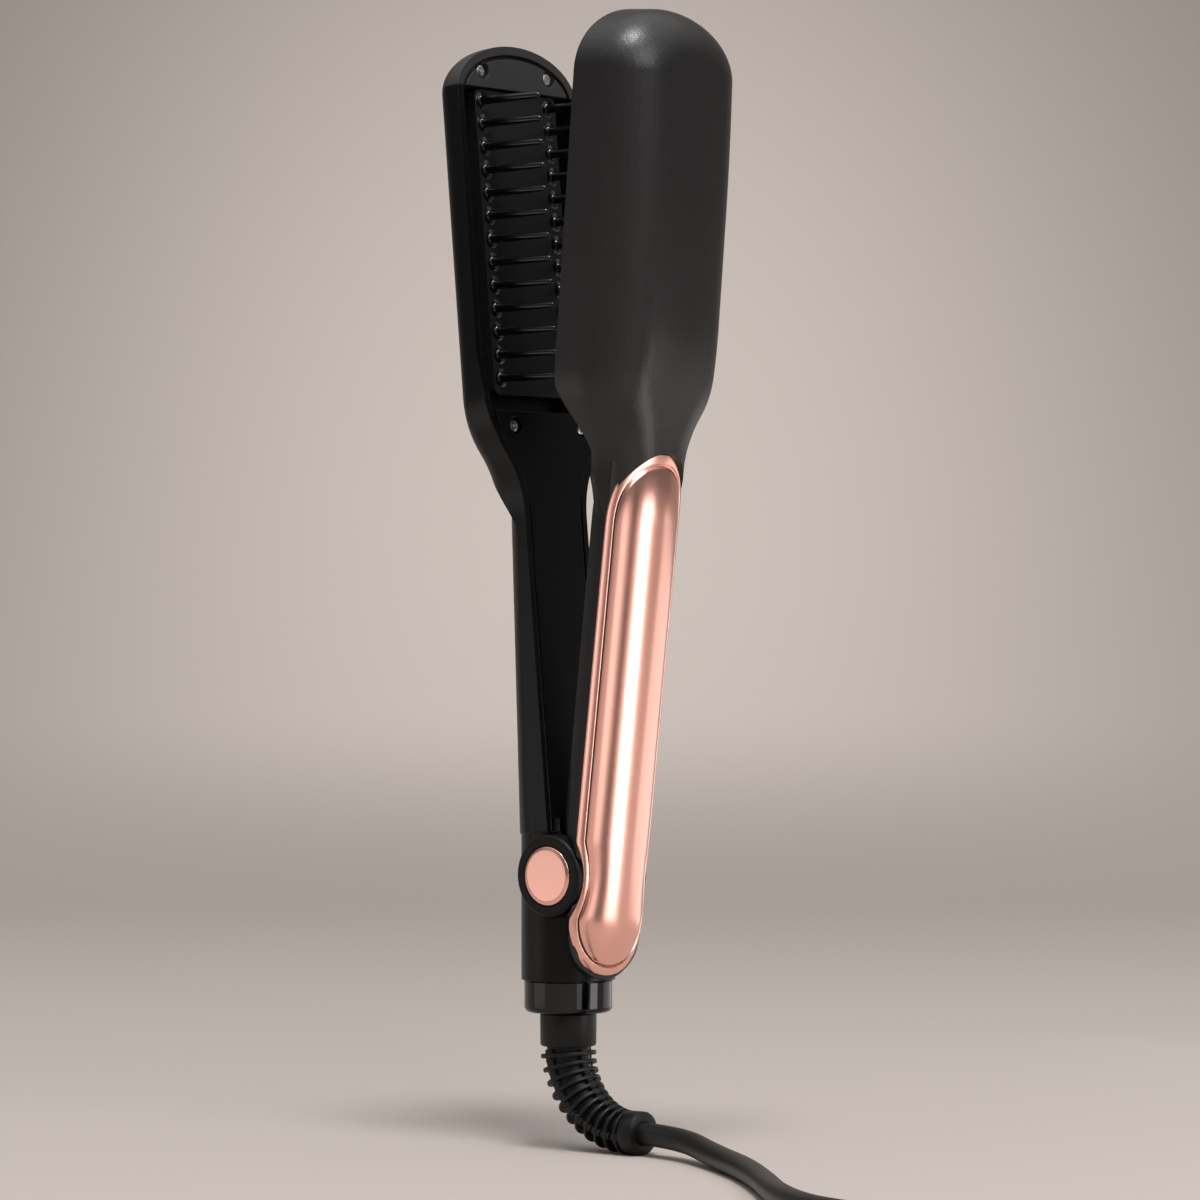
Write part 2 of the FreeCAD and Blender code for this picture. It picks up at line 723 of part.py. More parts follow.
throat_y = grip_rear_y + grip_slope * throat_low
throat = side_wedge([(plate_rim_y, throat_high), (throat_y, throat_low), (grip_rear_y, 0), (beyond, 0),
                     (beyond, throat_high)])
plate_head = head_slab(0, plate_front_y, plate_edge_radius, plate_neck_cut).cut(throat)
for sign in (1, -1):
    plate_head = plate_head.cut(neck_flank(sign))
grip_shape = slab(grip_outline(grip_half_width, grip_low, grip_low_rise, grip_high, 0), -beyond, beyond)
grip = grip_loft(grip_rear_half_width, grip_half_width, grip_rear_y, grip_side_y, grip_crown_y,
                 grip_low - past, grip_high + past)
grip = grip.common(grip_shape)

cavity = head_slab(shell_wall, plate_floor_y, plate_edge_radius - shell_wall, plate_neck_cut)
cavity = cavity.common(block(-beyond, beyond, -beyond, beyond, plate_cavity_low, beyond))
pocket_low = grip_low + grip_low_rise
pocket = grip_loft(grip_pocket_half_width, grip_pocket_half_width, grip_rear_y + past, grip_side_y,
                   grip_crown_y + shell_wall, pocket_low, throat_low - shell_wall)
lead_way_y = (plate_floor_y + throat_y) / 2
lead_way_start = Vector(0, lead_way_y, throat_low - 2 * shell_wall)
lead_way = Part.makeCylinder(lead_way_radius, throat_high - throat_low + 3 * shell_wall, lead_way_start)
notch_radius = bezel_radius + notch_clearance
notches = []
for sign in (1, -1):
    near, far = sorted((sign * (cheek_inner_x + fit_clearance), sign * beyond))
    notches.append(cylinder_x(notch_radius, near, far))

trim_back = grip_loft(grip_half_width, grip_half_width, beyond, grip_side_y, grip_crown_y,
                      grip_low - past, trim_high + past)
trim_room = slab(grip_outline(trim_half_width + fit_clearance, trim_low - fit_clearance, trim_low_rise,
                              trim_high + fit_clearance, trim_high_rise), beyond, -beyond)
trim_front = side_wedge([
    (grip_side_y - grip_slope * beyond, -beyond),
    (grip_side_y + grip_slope * beyond, beyond),
    (-beyond, beyond),
    (-beyond, -beyond),
])
trim_room = trim_room.cut(trim_back).common(trim_front)

plate_shell = plate_head.fuse(grip).cut(cavity).cut(pocket).cut(lead_way).cut(trim_room)
for notch in notches:
    plate_shell = plate_shell.cut(notch)
plate_shell = plate_shell.cut(block(-beyond, beyond, grip_side_y + saddle_lip, beyond, -beyond, saddle_top))
plate_shell = posed(plate_shell, plate_pose)
plate_shell = plate_shell.cut(cylinder_z(barrel_radius + swing_clearance, -beyond, pivot_height + saddle_top))
write("plate_arm_shell", plate_shell.removeSplitter())

# Metal trim wrapped round the front of the grip, notched round the button bezel
trim = grip_loft(trim_half_width, trim_half_width, beyond, grip_side_y, grip_crown_y - trim_thickness,
                 grip_low - past, trim_high + past)
trim_inside_half = grip_half_width + fit_clearance / 2
trim_inside_y = grip_crown_y - fit_clearance / 2
trim_inside = grip_loft(trim_inside_half, trim_inside_half, beyond, grip_side_y, trim_inside_y,
                        grip_low - 2 * past, trim_high + 2 * past)
trim_shape = grip_outline(trim_half_width, trim_low, trim_low_rise, trim_high, trim_high_rise)
trim = trim.cut(trim_inside).common(slab(trim_shape, beyond, -beyond)).common(trim_front)
for notch in notches:
    trim = trim.cut(notch)
write("grip_trim", posed(trim, plate_pose))

# Hinge yoke: two ears on the pin, joined by a web that fits the grip's pocket
yoke_half = grip_pocket_half_width - seat_clearance
yoke_room = grip_loft(yoke_half, yoke_half, beyond, grip_side_y, grip_crown_y + shell_wall + seat_clearance,
                      grip_low, grip_high)
yoke = block(-ear_outer_x, ear_outer_x, -beyond, yoke_web_y, yoke_low, yoke_high).common(yoke_room)
for sign in (1, -1):
    near, far = sorted((sign * ear_inner_x, sign * ear_outer_x))
    yoke = yoke.fuse(block(near, far, yoke_web_y, 0, yoke_low, -yoke_low))
    yoke = yoke.fuse(cylinder_x(ear_radius, near, far))
yoke = yoke.cut(cylinder_x(hinge_pin_radius + running_clearance, -beyond, beyond))
write("hinge_yoke", posed(yoke.removeSplitter(), plate_pose))

# Cover over the back of the grip, held by two screws into posts
back_cover_high = throat_low - shell_wall - seat_clearance
back_screws = []


low_y = grip_rear(back_cover_low)
high_y = grip_rear(back_cover_high)
back_cover = side_wedge([
    (low_y, back_cover_low),
    (high_y, back_cover_high),
    (high_y - cover_thickness, back_cover_high),
    (low_y - cover_thickness, back_cover_low),
])
back_cover = back_cover.common(block(-yoke_half, yoke_half, -beyond, beyond, -beyond, beyond))
for z in (back_cover_low + back_screw_inset, back_cover_high - back_screw_inset):
    face_y = grip_rear(z)
    post_length = face_y - (grip_crown_y + grip_slope * z + shell_wall + seat_clearance)
    post = Part.makeCylinder(post_radius, post_length, Vector(0, face_y, z), Vector(0, -1, 0))
    back_cover = back_cover.fuse(post.common(yoke_room))
    hole, head_y = screw_hole(0, 0, 0)
    turned = Placement(Vector(0, face_y, z), Rotation(Vector(0, 0, 1), 180))
    back_cover = back_cover.cut(posed(hole, turned))
    back_screws.append(posed(posed(screw(0, head_y, 0), turned), plate_pose))
back_cover = back_cover.common(side_wedge([(grip_rear(0), 0), (grip_rear(beyond), beyond), (-beyond, beyond),
                                           (-beyond, 0)]))
write("grip_back_cover", posed(back_cover.removeSplitter(), plate_pose))
write("grip_screws", back_screws)

# Heated plate, its element and the carrier that holds them off the shell
heater_face_y = plate_rim_y + heater_proud
heater_back_y = heater_face_y - heater_plate_thickness
heater_shape = round_rectangle(heater_half_width, heater_low, heater_high, heater_corner)
write("heater_plate", posed(slab(heater_shape, heater_back_y, heater_face_y), plate_pose))

element_low = heater_low + element_margin
element_high = heater_high - element_margin
element_back_y = heater_back_y - element_thickness
element = block(-element_half, element_half, element_back_y, heater_back_y, element_low, element_high)
write("heater_element", posed(element, plate_pose))

carrier = slab(heater_shape, plate_floor_y + seat_clearance, heater_back_y)
element_room_half = element_half + heater_gap
element_room = block(-element_room_half, element_room_half, element_back_y - heater_gap, beyond,
                     element_low - heater_gap, element_high + heater_gap)
web_y = element_back_y - heater_gap - carrier_wall
hollow_shape = round_rectangle(heater_half_width - carrier_wall, heater_low + carrier_wall,
                               heater_high - carrier_wall, heater_corner / 2)
hollow = slab(hollow_shape, -beyond, web_y)
carrier = carrier.cut(element_room).cut(hollow)
lead_slot_start = Vector(0, lead_way_y, heater_low - element_margin)
lead_slot = Part.makeCylinder(lead_way_radius, 2 * element_margin, lead_slot_start)
carrier = carrier.cut(lead_slot)
write("plate_carrier", posed(carrier, plate_pose))

fuse_start = Vector(0, web_y - fuse_radius - seat_clearance, (heater_low + heater_high) / 2)
write("thermal_fuse", posed(Part.makeCylinder(fuse_radius, fuse_length, fuse_start), plate_pose))

heater_leads = []
for sign in (1, -1):
    start = Vector(sign * (heater_lead_radius + fit_clearance), lead_way_y, throat_low - heater_lead_below)
    lead_length = heater_low - throat_low + heater_lead_below + element_margin
    heater_leads.append(posed(Part.makeCylinder(heater_lead_radius, lead_length, start), plate_pose))
write("heater_leads", heater_leads)


# Cord boot: a straight neck, then a quarter bend towards the front in tapering rings
bend_centre = Vector(0, -boot_bend_radius, boot_top - boot_neck_length)
bend_length = boot_bend_radius * math.pi / 2


def boot_place(distance):
    # Point and direction on the boot's centre line, this far from its top
    if distance <= boot_neck_length:
        return Vector(0, 0, boot_top - distance), Vector(0, 0, -1)
    turn = min((distance - boot_neck_length) / boot_bend_radius, math.pi / 2)
    past = max(distance - boot_neck_length - bend_length, 0)
    way = Vector(0, -math.sin(turn), -math.cos(turn))
    out = Vector(0, math.cos(turn), -math.sin(turn))
    return bend_centre + out * boot_bend_radius + way * past, way


def boot_ring(distance, radius):
    point, way = boot_place(distance)
    circle = Part.Circle(point, way, radius)
    circle.XAxis = x_axis
    return Part.Wire(circle.toShape())


def boot_radius(distance):
    share = (distance - boot_neck_length) / bend_length
    return boot_neck_radius + (boot_end_radius - boot_neck_radius) * min(max(share, 0), 1)


rib_pitch = bend_length / boot_ribs
rings = [boot_ring(0, boot_neck_radius), boot_ring(boot_neck_length, boot_neck_radius)]
for rib in range(boot_ribs):
    start = boot_neck_length + rib * rib_pitch
    groove = (1 - boot_rib_share) * rib_pitch
    slope = groove / 4
    for along, cut in ((slope, 1), (groove - slope, 1), (groove, 0), (rib_pitch, 0)):
        rings.append(boot_ring(start + along, boot_radius(start + along) - cut * boot_rib_depth))
boot_length = boot_neck_length + bend_length + boot_end_length
rings.append(boot_ring(boot_length, boot_end_radius))
boot = Part.makeLoft(rings, True, True)
boot_end, boot_way = boot_place(boot_length)
cord_bore = Part.makeCylinder(cord_diameter / 2 + fit_clearance, boot_end_length, boot_end, boot_way * -1)
write("cord_boot", boot.cut(cord_bore))

# Cord: from the boot down to the floor and forwards to the coil.
# Each place is X, Y and the rise of the cord's centre above its run on the floor.
floor_z = boot_end.z - boot_end_radius
cord_radius = cord_diameter / 2
cord_floor_z = floor_z + cord_radius
coil_lift = tie_wall + tie_clearance
cord_route = [
    (0.0, -24.6, 3.0),
    (0.0, -43.5, 3.0),
    (-11.5, -66.0, 0.2),
    (-33.5, -98.5, 0.0),
    (-79.0, -145.0, 0.1),
    (-90.0, -178.0, 0.4),
    (-89.0, -219.0, 0.9),
    (-82.0, -258.0, coil_lift),
    (-77.5, -297.0, coil_lift),
]


def rounded_route(points):
    # Straight runs joined by tangent arcs, each arc reaching 0.45 of the shorter run beside it
    edges = []
    radii = []
    start = points[0]
    for before, corner, after in zip(points, points[1:], points[2:]):
        back = (before - corner).normalize()
        ahead = (after - corner).normalize()
        half_turn = (math.pi - back.getAngle(ahead)) / 2
        reach = 0.45 * min(corner.distanceToPoint(before), corner.distanceToPoint(after))
        radius = reach / math.tan(half_turn)
        inward = (back + ahead).normalize()
        arc_start = corner + back * reach
        arc_end = corner + ahead * reach
        arc_middle = corner + inward * (radius / math.cos(half_turn) - radius)
        edges.append(Part.LineSegment(start, arc_start).toShape())
        edges.append(Part.Arc(arc_start, arc_middle, arc_end).toShape())
        radii.append(radius)
        start = arc_end
    edges.append(Part.LineSegment(start, points[-1]).toShape())
    return edges, radii


def tube(edges, radius):
    path = Part.Wire(edges)
    first = edges[0]
    way = first.tangentAt(first.FirstParameter)
    ring = Part.Wire(Part.Circle(first.valueAt(first.FirstParameter), way, radius).toShape())
    return path.makePipeShell([ring], True, False), path.Length


route_points = [Vector(x, y, cord_floor_z + rise) for x, y, rise in cord_route]
route_edges, route_radii = rounded_route(route_points)
power_cord, cord_run = tube(route_edges, cord_radius)
cord_section = math.pi * cord_radius ** 2
write("power_cord", power_cord)
print("cord arc radii", [round(radius) for radius in route_radii], "run", round(cord_run, 1))
print("cord volume over section times length", round(power_cord.Volume / (cord_section * cord_run), 4))

# Coil: half turns that wind inwards on the floor, climb one layer and wind outwards on top.
# The last half turn climbs again, and the end crosses over the coil to the plug.
coil_start = route_points[-1]
coil_way = (route_points[-1] - route_points[-2])
coil_way.z = 0
coil_way.normalize()
coil_side = Vector(-coil_way.y, coil_way.x, 0)
up = Vector(0, 0, 1)
shrink = coil_turn_pitch / 2
climb_radius = coil_outer_radius - shrink * coil_half_turns
plug_rise = cord_radius + plug_rest_gap + plug_height / 2
inward_radii = [coil_outer_radius - shrink * turn for turn in range(coil_half_turns)]
turns = [(radius, 0) for radius in inward_radii]
turns.append((climb_radius, coil_layer_step))
turns.extend((radius, 0) for radius in reversed(inward_radii[1:]))
turns.append((coil_outer_radius, plug_rise))
place = coil_start + coil_way * cord_diameter
coil_edges = [Part.LineSegment(coil_start, place).toShape()]
heading = coil_way
side = coil_side
for radius, climb in turns:
    turn_end = place + side * (2 * radius) + up * climb
    middle = (place + turn_end) * 0.5
    crest = middle + heading * (place.distanceToPoint(turn_end) / 2)
    coil_edges.append(Part.Arc(place, crest, turn_end).toShape())
    place = turn_end
    heading = heading * -1
    side = side * -1
over_centre = place + side * coil_over_radius


def over_point(turn):
    return over_centre + (heading * math.sin(turn) - side * math.cos(turn)) * coil_over_radius


over_turn = math.radians(coil_over_turn)
over_end = over_point(over_turn)
plug_way = side * math.sin(over_turn) + heading * math.cos(over_turn)
coil_end = over_end + plug_way * coil_tail
coil_edges.append(Part.Arc(place, over_point(over_turn / 2), over_end).toShape())
coil_edges.append(Part.LineSegment(over_end, coil_end).toShape())
cord_coil, coil_run = tube(coil_edges, cord_radius)
write("cord_coil", cord_coil)

coil_points = []
for edge in coil_edges:
    count = max(2, round(edge.Length / coil_check_step))
    coil_points.extend(edge.discretize(count)[:-1])
apart = round(3 * cord_diameter / coil_check_step)
nearest = min(
    coil_points[a].distanceToPoint(coil_points[b])
    for a in range(len(coil_points))
    for b in range(a + apart, len(coil_points))
)
print("coil least gap", round(nearest - cord_diameter, 2), "length", round(coil_run, 1))
print("cord in all", round(cord_run + coil_run, 1))
print("coil volume over section times length", round(cord_coil.Volume / (cord_section * coil_run), 4))

# Tie: a flat band round the side of the coil where every half turn has the same centre
tie_centre = coil_start + coil_way * cord_diameter + coil_side * (coil_outer_radius + shrink)
tie_near = math.sqrt((climb_radius - cord_radius) ** 2 - (tie_width / 2) ** 2) - tie_clearance
tie_far = inward_radii[1] + cord_radius + tie_clearance
tie_low = -cord_radius - tie_clearance
tie_high = coil_layer_step + cord_radius + tie_clearance


def tie_block(grow):
    half = tie_width / 2
    return block(tie_near - grow, tie_far + grow, -half, half, tie_low - grow, tie_high + grow)


tie_opening = block(tie_near, tie_far, -beyond, beyond, tie_low, tie_high)
tie = tie_block(tie_wall).cut(tie_opening)
write("cord_tie", posed(tie, Placement(tie_centre, Rotation(x_axis, coil_way * -1))))

# Plug: sleeve, flat body and two round pins, lying across the top of the coil
plug_pose = Placement(coil_end, Rotation(x_axis, plug_way))
sleeve_end = plug_sleeve_length
body_end = sleeve_end + plug_length
body = block(sleeve_end, body_end, -plug_width / 2, plug_width / 2, -plug_height / 2, plug_height / 2)
long_edges = [edge for edge in body.Edges if abs(edge.tangentAt(edge.FirstParameter).x) > 0.9]
body = body.makeFillet(plug_edge_radius, long_edges)
rear_edges = [edge for edge in body.Edges if edge.BoundBox.XMax < sleeve_end + 0.01]
body = body.makeFillet(plug_edge_radius * 0.8, rear_edges)
sleeve_root = sleeve_end + plug_edge_radius
sleeve = Part.makeCone(cord_radius + tie_wall, plug_sleeve_radius, sleeve_root, Vector(0, 0, 0), x_axis)
body = body.fuse(sleeve)
write("plug_body", posed(body, plug_pose))
pins = []
for sign in (1, -1):
    start = Vector(body_end, sign * plug_pin_spacing / 2, 0)
    pin = Part.makeCylinder(plug_pin_radius, plug_pin_length, start, x_axis)
    tip_edges = [edge for edge in pin.Edges if edge.BoundBox.XMin > body_end + plug_pin_length - 0.01]
    pins.append(posed(pin.makeFillet(plug_pin_radius * 0.6, tip_edges), plug_pose))
write("plug_pins", pins)
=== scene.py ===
import json
import math

import bmesh
import bpy
from mathutils import Matrix, Vector

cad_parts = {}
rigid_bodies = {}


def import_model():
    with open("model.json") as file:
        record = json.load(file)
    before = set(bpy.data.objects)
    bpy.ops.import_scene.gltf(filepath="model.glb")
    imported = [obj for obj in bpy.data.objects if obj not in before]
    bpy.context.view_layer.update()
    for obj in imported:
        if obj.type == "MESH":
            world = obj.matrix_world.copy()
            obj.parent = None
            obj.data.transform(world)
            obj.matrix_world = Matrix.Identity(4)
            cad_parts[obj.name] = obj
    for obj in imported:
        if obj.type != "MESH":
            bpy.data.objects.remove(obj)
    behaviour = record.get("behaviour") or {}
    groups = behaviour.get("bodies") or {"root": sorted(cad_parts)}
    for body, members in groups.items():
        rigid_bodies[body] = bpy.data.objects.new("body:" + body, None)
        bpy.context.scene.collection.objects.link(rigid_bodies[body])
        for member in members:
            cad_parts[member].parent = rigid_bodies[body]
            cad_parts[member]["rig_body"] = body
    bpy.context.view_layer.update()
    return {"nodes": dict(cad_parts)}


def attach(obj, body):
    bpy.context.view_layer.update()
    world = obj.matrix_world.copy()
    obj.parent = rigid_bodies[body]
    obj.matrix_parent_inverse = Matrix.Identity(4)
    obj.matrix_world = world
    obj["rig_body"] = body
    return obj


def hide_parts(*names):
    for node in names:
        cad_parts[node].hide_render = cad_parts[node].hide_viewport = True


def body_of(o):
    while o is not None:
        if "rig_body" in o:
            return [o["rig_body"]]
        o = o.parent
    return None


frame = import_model()
nodes = frame["nodes"]
scene = bpy.context.scene
mm = 0.001
print("frame loaded:", len(nodes), "nodes")

# camera at the photograph's angle, level with the lower edge of the heads
cameraSet = {"azimuth": -49.4, "distance": 1.35, "aside": 0.0095, "height": 0.1127, "lens": 135.0,
             "sensor": 36.0, "lift": 20 / 1200, "farthest": 20}


def makeCamera(c):
    turn = math.radians(c["azimuth"])
    back = Vector((math.sin(turn), -math.cos(turn), 0))
    right = Vector((math.cos(turn), math.sin(turn), 0))
    up = Vector((0, 0, 1))
    data = bpy.data.cameras.new("viewCamera")
    data.lens = c["lens"]
    data.sensor_width = c["sensor"]
    data.shift_y = c["lift"]
    data.clip_end = c["farthest"]
    camera = bpy.data.objects.new("viewCamera", data)
    spot = back * c["distance"] + right * c["aside"] + up * c["height"]
    axes = Matrix((right, up, back)).transposed().to_4x4()
    camera.matrix_world = Matrix.Translation(spot) @ axes
    scene.collection.objects.link(camera)
    scene.camera = camera
    return back, right


viewBack, viewRight = makeCamera(cameraSet)

# floor and curved backdrop; the backdrop's warm grey carries a painted glow, lightest behind the middle of the
# object and darker towards the edges
stageSet = {"floor": -0.0457, "half": 3.0, "behind": 1.1, "sweep": 0.9, "wall": 2.6, "steps": 24,
            "glowHeight": 0.30, "glowWide": 0.46, "glowDeep": 100, "glowTall": 0.60, "fadeFrom": 0.1,
            "fadeTo": 1.3, "paintedGlowCentre": (0.78, 0.705, 0.655), "paintedGlowRim": (0.43, 0.385, 0.36),
            "ground": (0.445, 0.40, 0.372), "groundTop": 0.06, "rough": 0.8, "shine": 0.1}


def paintedGlowBackdropMaterial(s):
    mat = bpy.data.materials.new("paperBackdropPaintedGlow")
    mat.use_nodes = True
    tree = mat.node_tree
    shader = tree.nodes["Principled BSDF"]
    shader.inputs["Roughness"].default_value = s["rough"]
    shader.inputs["Specular IOR Level"].default_value = s["shine"]
    # painted glow: the backdrop colour runs from the light centre tone to the darker rim tone with distance from
    # a point behind the object
    place = tree.nodes.new("ShaderNodeTexCoord")
    aim = tree.nodes.new("ShaderNodeMapping")
    aim.vector_type = "TEXTURE"
    aim.inputs["Location"].default_value = (0, 0, s["glowHeight"])
    aim.inputs["Rotation"].default_value = (0, 0, math.radians(cameraSet["azimuth"]))
    aim.inputs["Scale"].default_value = (s["glowWide"], s["glowDeep"], s["glowTall"])
    reach = tree.nodes.new("ShaderNodeVectorMath")
    reach.operation = "LENGTH"
    fade = tree.nodes.new("ShaderNodeMapRange")
    fade.interpolation_type = "SMOOTHSTEP"
    fade.inputs["From Min"].default_value = s["fadeFrom"]
    fade.inputs["From Max"].default_value = s["fadeTo"]
    tone = tree.nodes.new("ShaderNodeMix")
    tone.data_type = "RGBA"
    tone.inputs["A"].default_value = (*s["paintedGlowCentre"], 1)
    tone.inputs["B"].default_value = (*s["paintedGlowRim"], 1)
    tree.links.new(place.outputs["Object"], aim.inputs["Vector"])
    tree.links.new(aim.outputs["Vector"], reach.inputs[0])
    tree.links.new(reach.outputs["Value"], fade.inputs["Value"])
    split = tree.nodes.new("ShaderNodeSeparateXYZ")
    climb = tree.nodes.new("ShaderNodeMapRange")
    climb.interpolation_type = "SMOOTHSTEP"
    climb.inputs["From Min"].default_value = s["floor"]
    climb.inputs["From Max"].default_value = s["groundTop"]
    join = tree.nodes.new("ShaderNodeMix")
    join.data_type = "RGBA"
    join.inputs["A"].default_value = (*s["ground"], 1)
    tree.links.new(fade.outputs["Result"], tone.inputs["Factor"])
    tree.links.new(place.outputs["Object"], split.inputs["Vector"])
    tree.links.new(split.outputs["Z"], climb.inputs["Value"])
    tree.links.new(climb.outputs["Result"], join.inputs["Factor"])
    tree.links.new(tone.outputs["Result"], join.inputs["B"])
    tree.links.new(join.outputs["Result"], shader.inputs["Base Color"])
    return mat


def makeStage(s):
    profile = [(-s["half"], s["floor"]), (s["behind"], s["floor"])]
    for step in range(1, s["steps"] + 1):
        turn = math.pi / 2 * step / s["steps"]
        away, high = s["sweep"] * math.sin(turn), s["sweep"] * (1 - math.cos(turn))
        profile.append((s["behind"] + away, s["floor"] + high))
    profile.append((s["behind"] + s["sweep"], s["floor"] + s["wall"]))
    verts = []
    for away, height in profile:
        for side in (-s["half"], s["half"]):
            spot = viewBack * -away + viewRight * side
            verts.append((spot.x, spot.y, height))
    faces = [(2 * i, 2 * i + 1, 2 * i + 3, 2 * i + 2) for i in range(len(profile) - 1)]
    mesh = bpy.data.meshes.new("backdrop")
    mesh.from_pydata(verts, [], faces)
    mesh.polygons.foreach_set("use_smooth", [True] * len(mesh.polygons))
    backdrop = bpy.data.objects.new("backdrop", mesh)
    scene.collection.objects.link(backdrop)
    mesh.materials.append(paintedGlowBackdropMaterial(s))


makeStage(stageSet)

# soft boxes: azimuth and elevation as seen from the object, distance, width, height, power
lampSet = {
    "nearStrip": (20, -18, 0.31, 0.105, 0.17, 0.20),
    "nearPanel": (78, -16, 0.42, 0.34, 0.17, 0.15),
    "nearEdge": (-21, -15, 0.40, 0.08, 0.17, 0.04),
    "buttonPanel": (-130, -12, 0.5, 0.3, 0.24, 0.13),
    "topSoftBox": (-42, 75, 1.4, 0.27, 0.27, 13),
    "frontSoftBox": (-20, 34, 2.4, 1.6, 1.2, 24),
}
lampAim = Vector((0, 0, 0.14))
lampNear = 1.0  # lamps nearer than this show only in reflections


def makeLamps(lamps):
    for name, (azimuth, elevation, distance, width, height, power) in lamps.items():
        turn, rise = math.radians(azimuth), math.radians(elevation)
        away = Vector((math.sin(turn) * math.cos(rise), -math.cos(turn) * math.cos(rise), math.sin(rise)))
        data = bpy.data.lights.new(name, "AREA")
        data.shape = "RECTANGLE"
        data.size = width
        data.size_y = height
        data.energy = power
        lamp = bpy.data.objects.new(name, data)
        lamp.location = lampAim + away * distance
        lamp.rotation_euler = away.to_track_quat("Z", "Y").to_euler()
        lamp.visible_camera = False
        lamp.visible_diffuse = distance > lampNear
        scene.collection.objects.link(lamp)


makeLamps(lampSet)

# a dark card between the near lamps, seen only in polished surfaces
flagSet = {"azimuth": -4, "distance": 0.33, "half": 0.028, "low": -0.044, "high": 0.15,
           "tone": (0.02, 0.019, 0.019)}


def makeFlag(f):
    turn = math.radians(f["azimuth"])
    away = Vector((math.sin(turn), -math.cos(turn), 0)) * f["distance"]
    side = Vector((math.cos(turn), math.sin(turn), 0)) * f["half"]
    corners = [away - side, away + side]
    verts = [(spot.x, spot.y, height) for height in (f["low"], f["high"]) for spot in corners]
    mesh = bpy.data.meshes.new("darkCard")
    mesh.from_pydata(verts, [], [(0, 1, 3, 2)])
    mat = bpy.data.materials.new("darkCard")
    mat.use_nodes = True
    mat.node_tree.nodes["Principled BSDF"].inputs["Base Color"].default_value = (*f["tone"], 1)
    mesh.materials.append(mat)
    flag = bpy.data.objects.new("darkCard", mesh)
    scene.collection.objects.link(flag)
    flag.visible_camera = False
    flag.visible_diffuse = False
    flag.visible_shadow = False


makeFlag(flagSet)

# room: dark walls under a pale ceiling
roomSet = {"colour": (1.0, 0.985, 0.97), "wall": 0.16, "ceiling": 1.0, "wallTop": 0.35, "ceilingFrom": 0.9}


def makeRoom(r):
    world = bpy.data.worlds.new("studioRoom")
    scene.world = world
    world.use_nodes = True
    tree = world.node_tree
    light = tree.nodes["Background"]
    light.inputs["Color"].default_value = (*r["colour"], 1)
    way = tree.nodes.new("ShaderNodeTexCoord")
    split = tree.nodes.new("ShaderNodeSeparateXYZ")
    climb = tree.nodes.new("ShaderNodeMapRange")
    climb.interpolation_type = "SMOOTHSTEP"
    climb.inputs["From Min"].default_value = r["wallTop"]
    climb.inputs["From Max"].default_value = r["ceilingFrom"]
    climb.inputs["To Min"].default_value = r["wall"]
    climb.inputs["To Max"].default_value = r["ceiling"]
    tree.links.new(way.outputs["Generated"], split.inputs["Vector"])
    tree.links.new(split.outputs["Z"], climb.inputs["Value"])
    tree.links.new(climb.outputs["Result"], light.inputs["Strength"])


makeRoom(roomSet)
scene.view_settings.view_transform = "Standard"
print("camera, floor and lamps placed")


# small mesh helpers
weldGap = 1e-6  # points closer than this are joined


def addPiece(name, mesh, body, material=None, replaced=()):
    piece = bpy.data.objects.new(name, mesh)
    scene.collection.objects.link(piece)
    if material:
        mesh.materials.clear()
        mesh.materials.append(material)
    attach(piece, body)
    if replaced:
        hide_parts(*replaced)
    return piece


def meshFrom(name, work, angle=35):
    # a finished mesh from bmesh, smooth except across edges sharper than the angle
    bmesh.ops.remove_doubles(work, verts=work.verts, dist=weldGap)
    bmesh.ops.recalc_face_normals(work, faces=work.faces)
    limit = math.radians(angle)
    for face in work.faces:
        face.smooth = True
    for edge in work.edges:
        if len(edge.link_faces) == 2:
            edge.smooth = edge.calc_face_angle(0) < limit
    mesh = bpy.data.meshes.new(name)
    work.to_mesh(mesh)
    work.free()
    return mesh


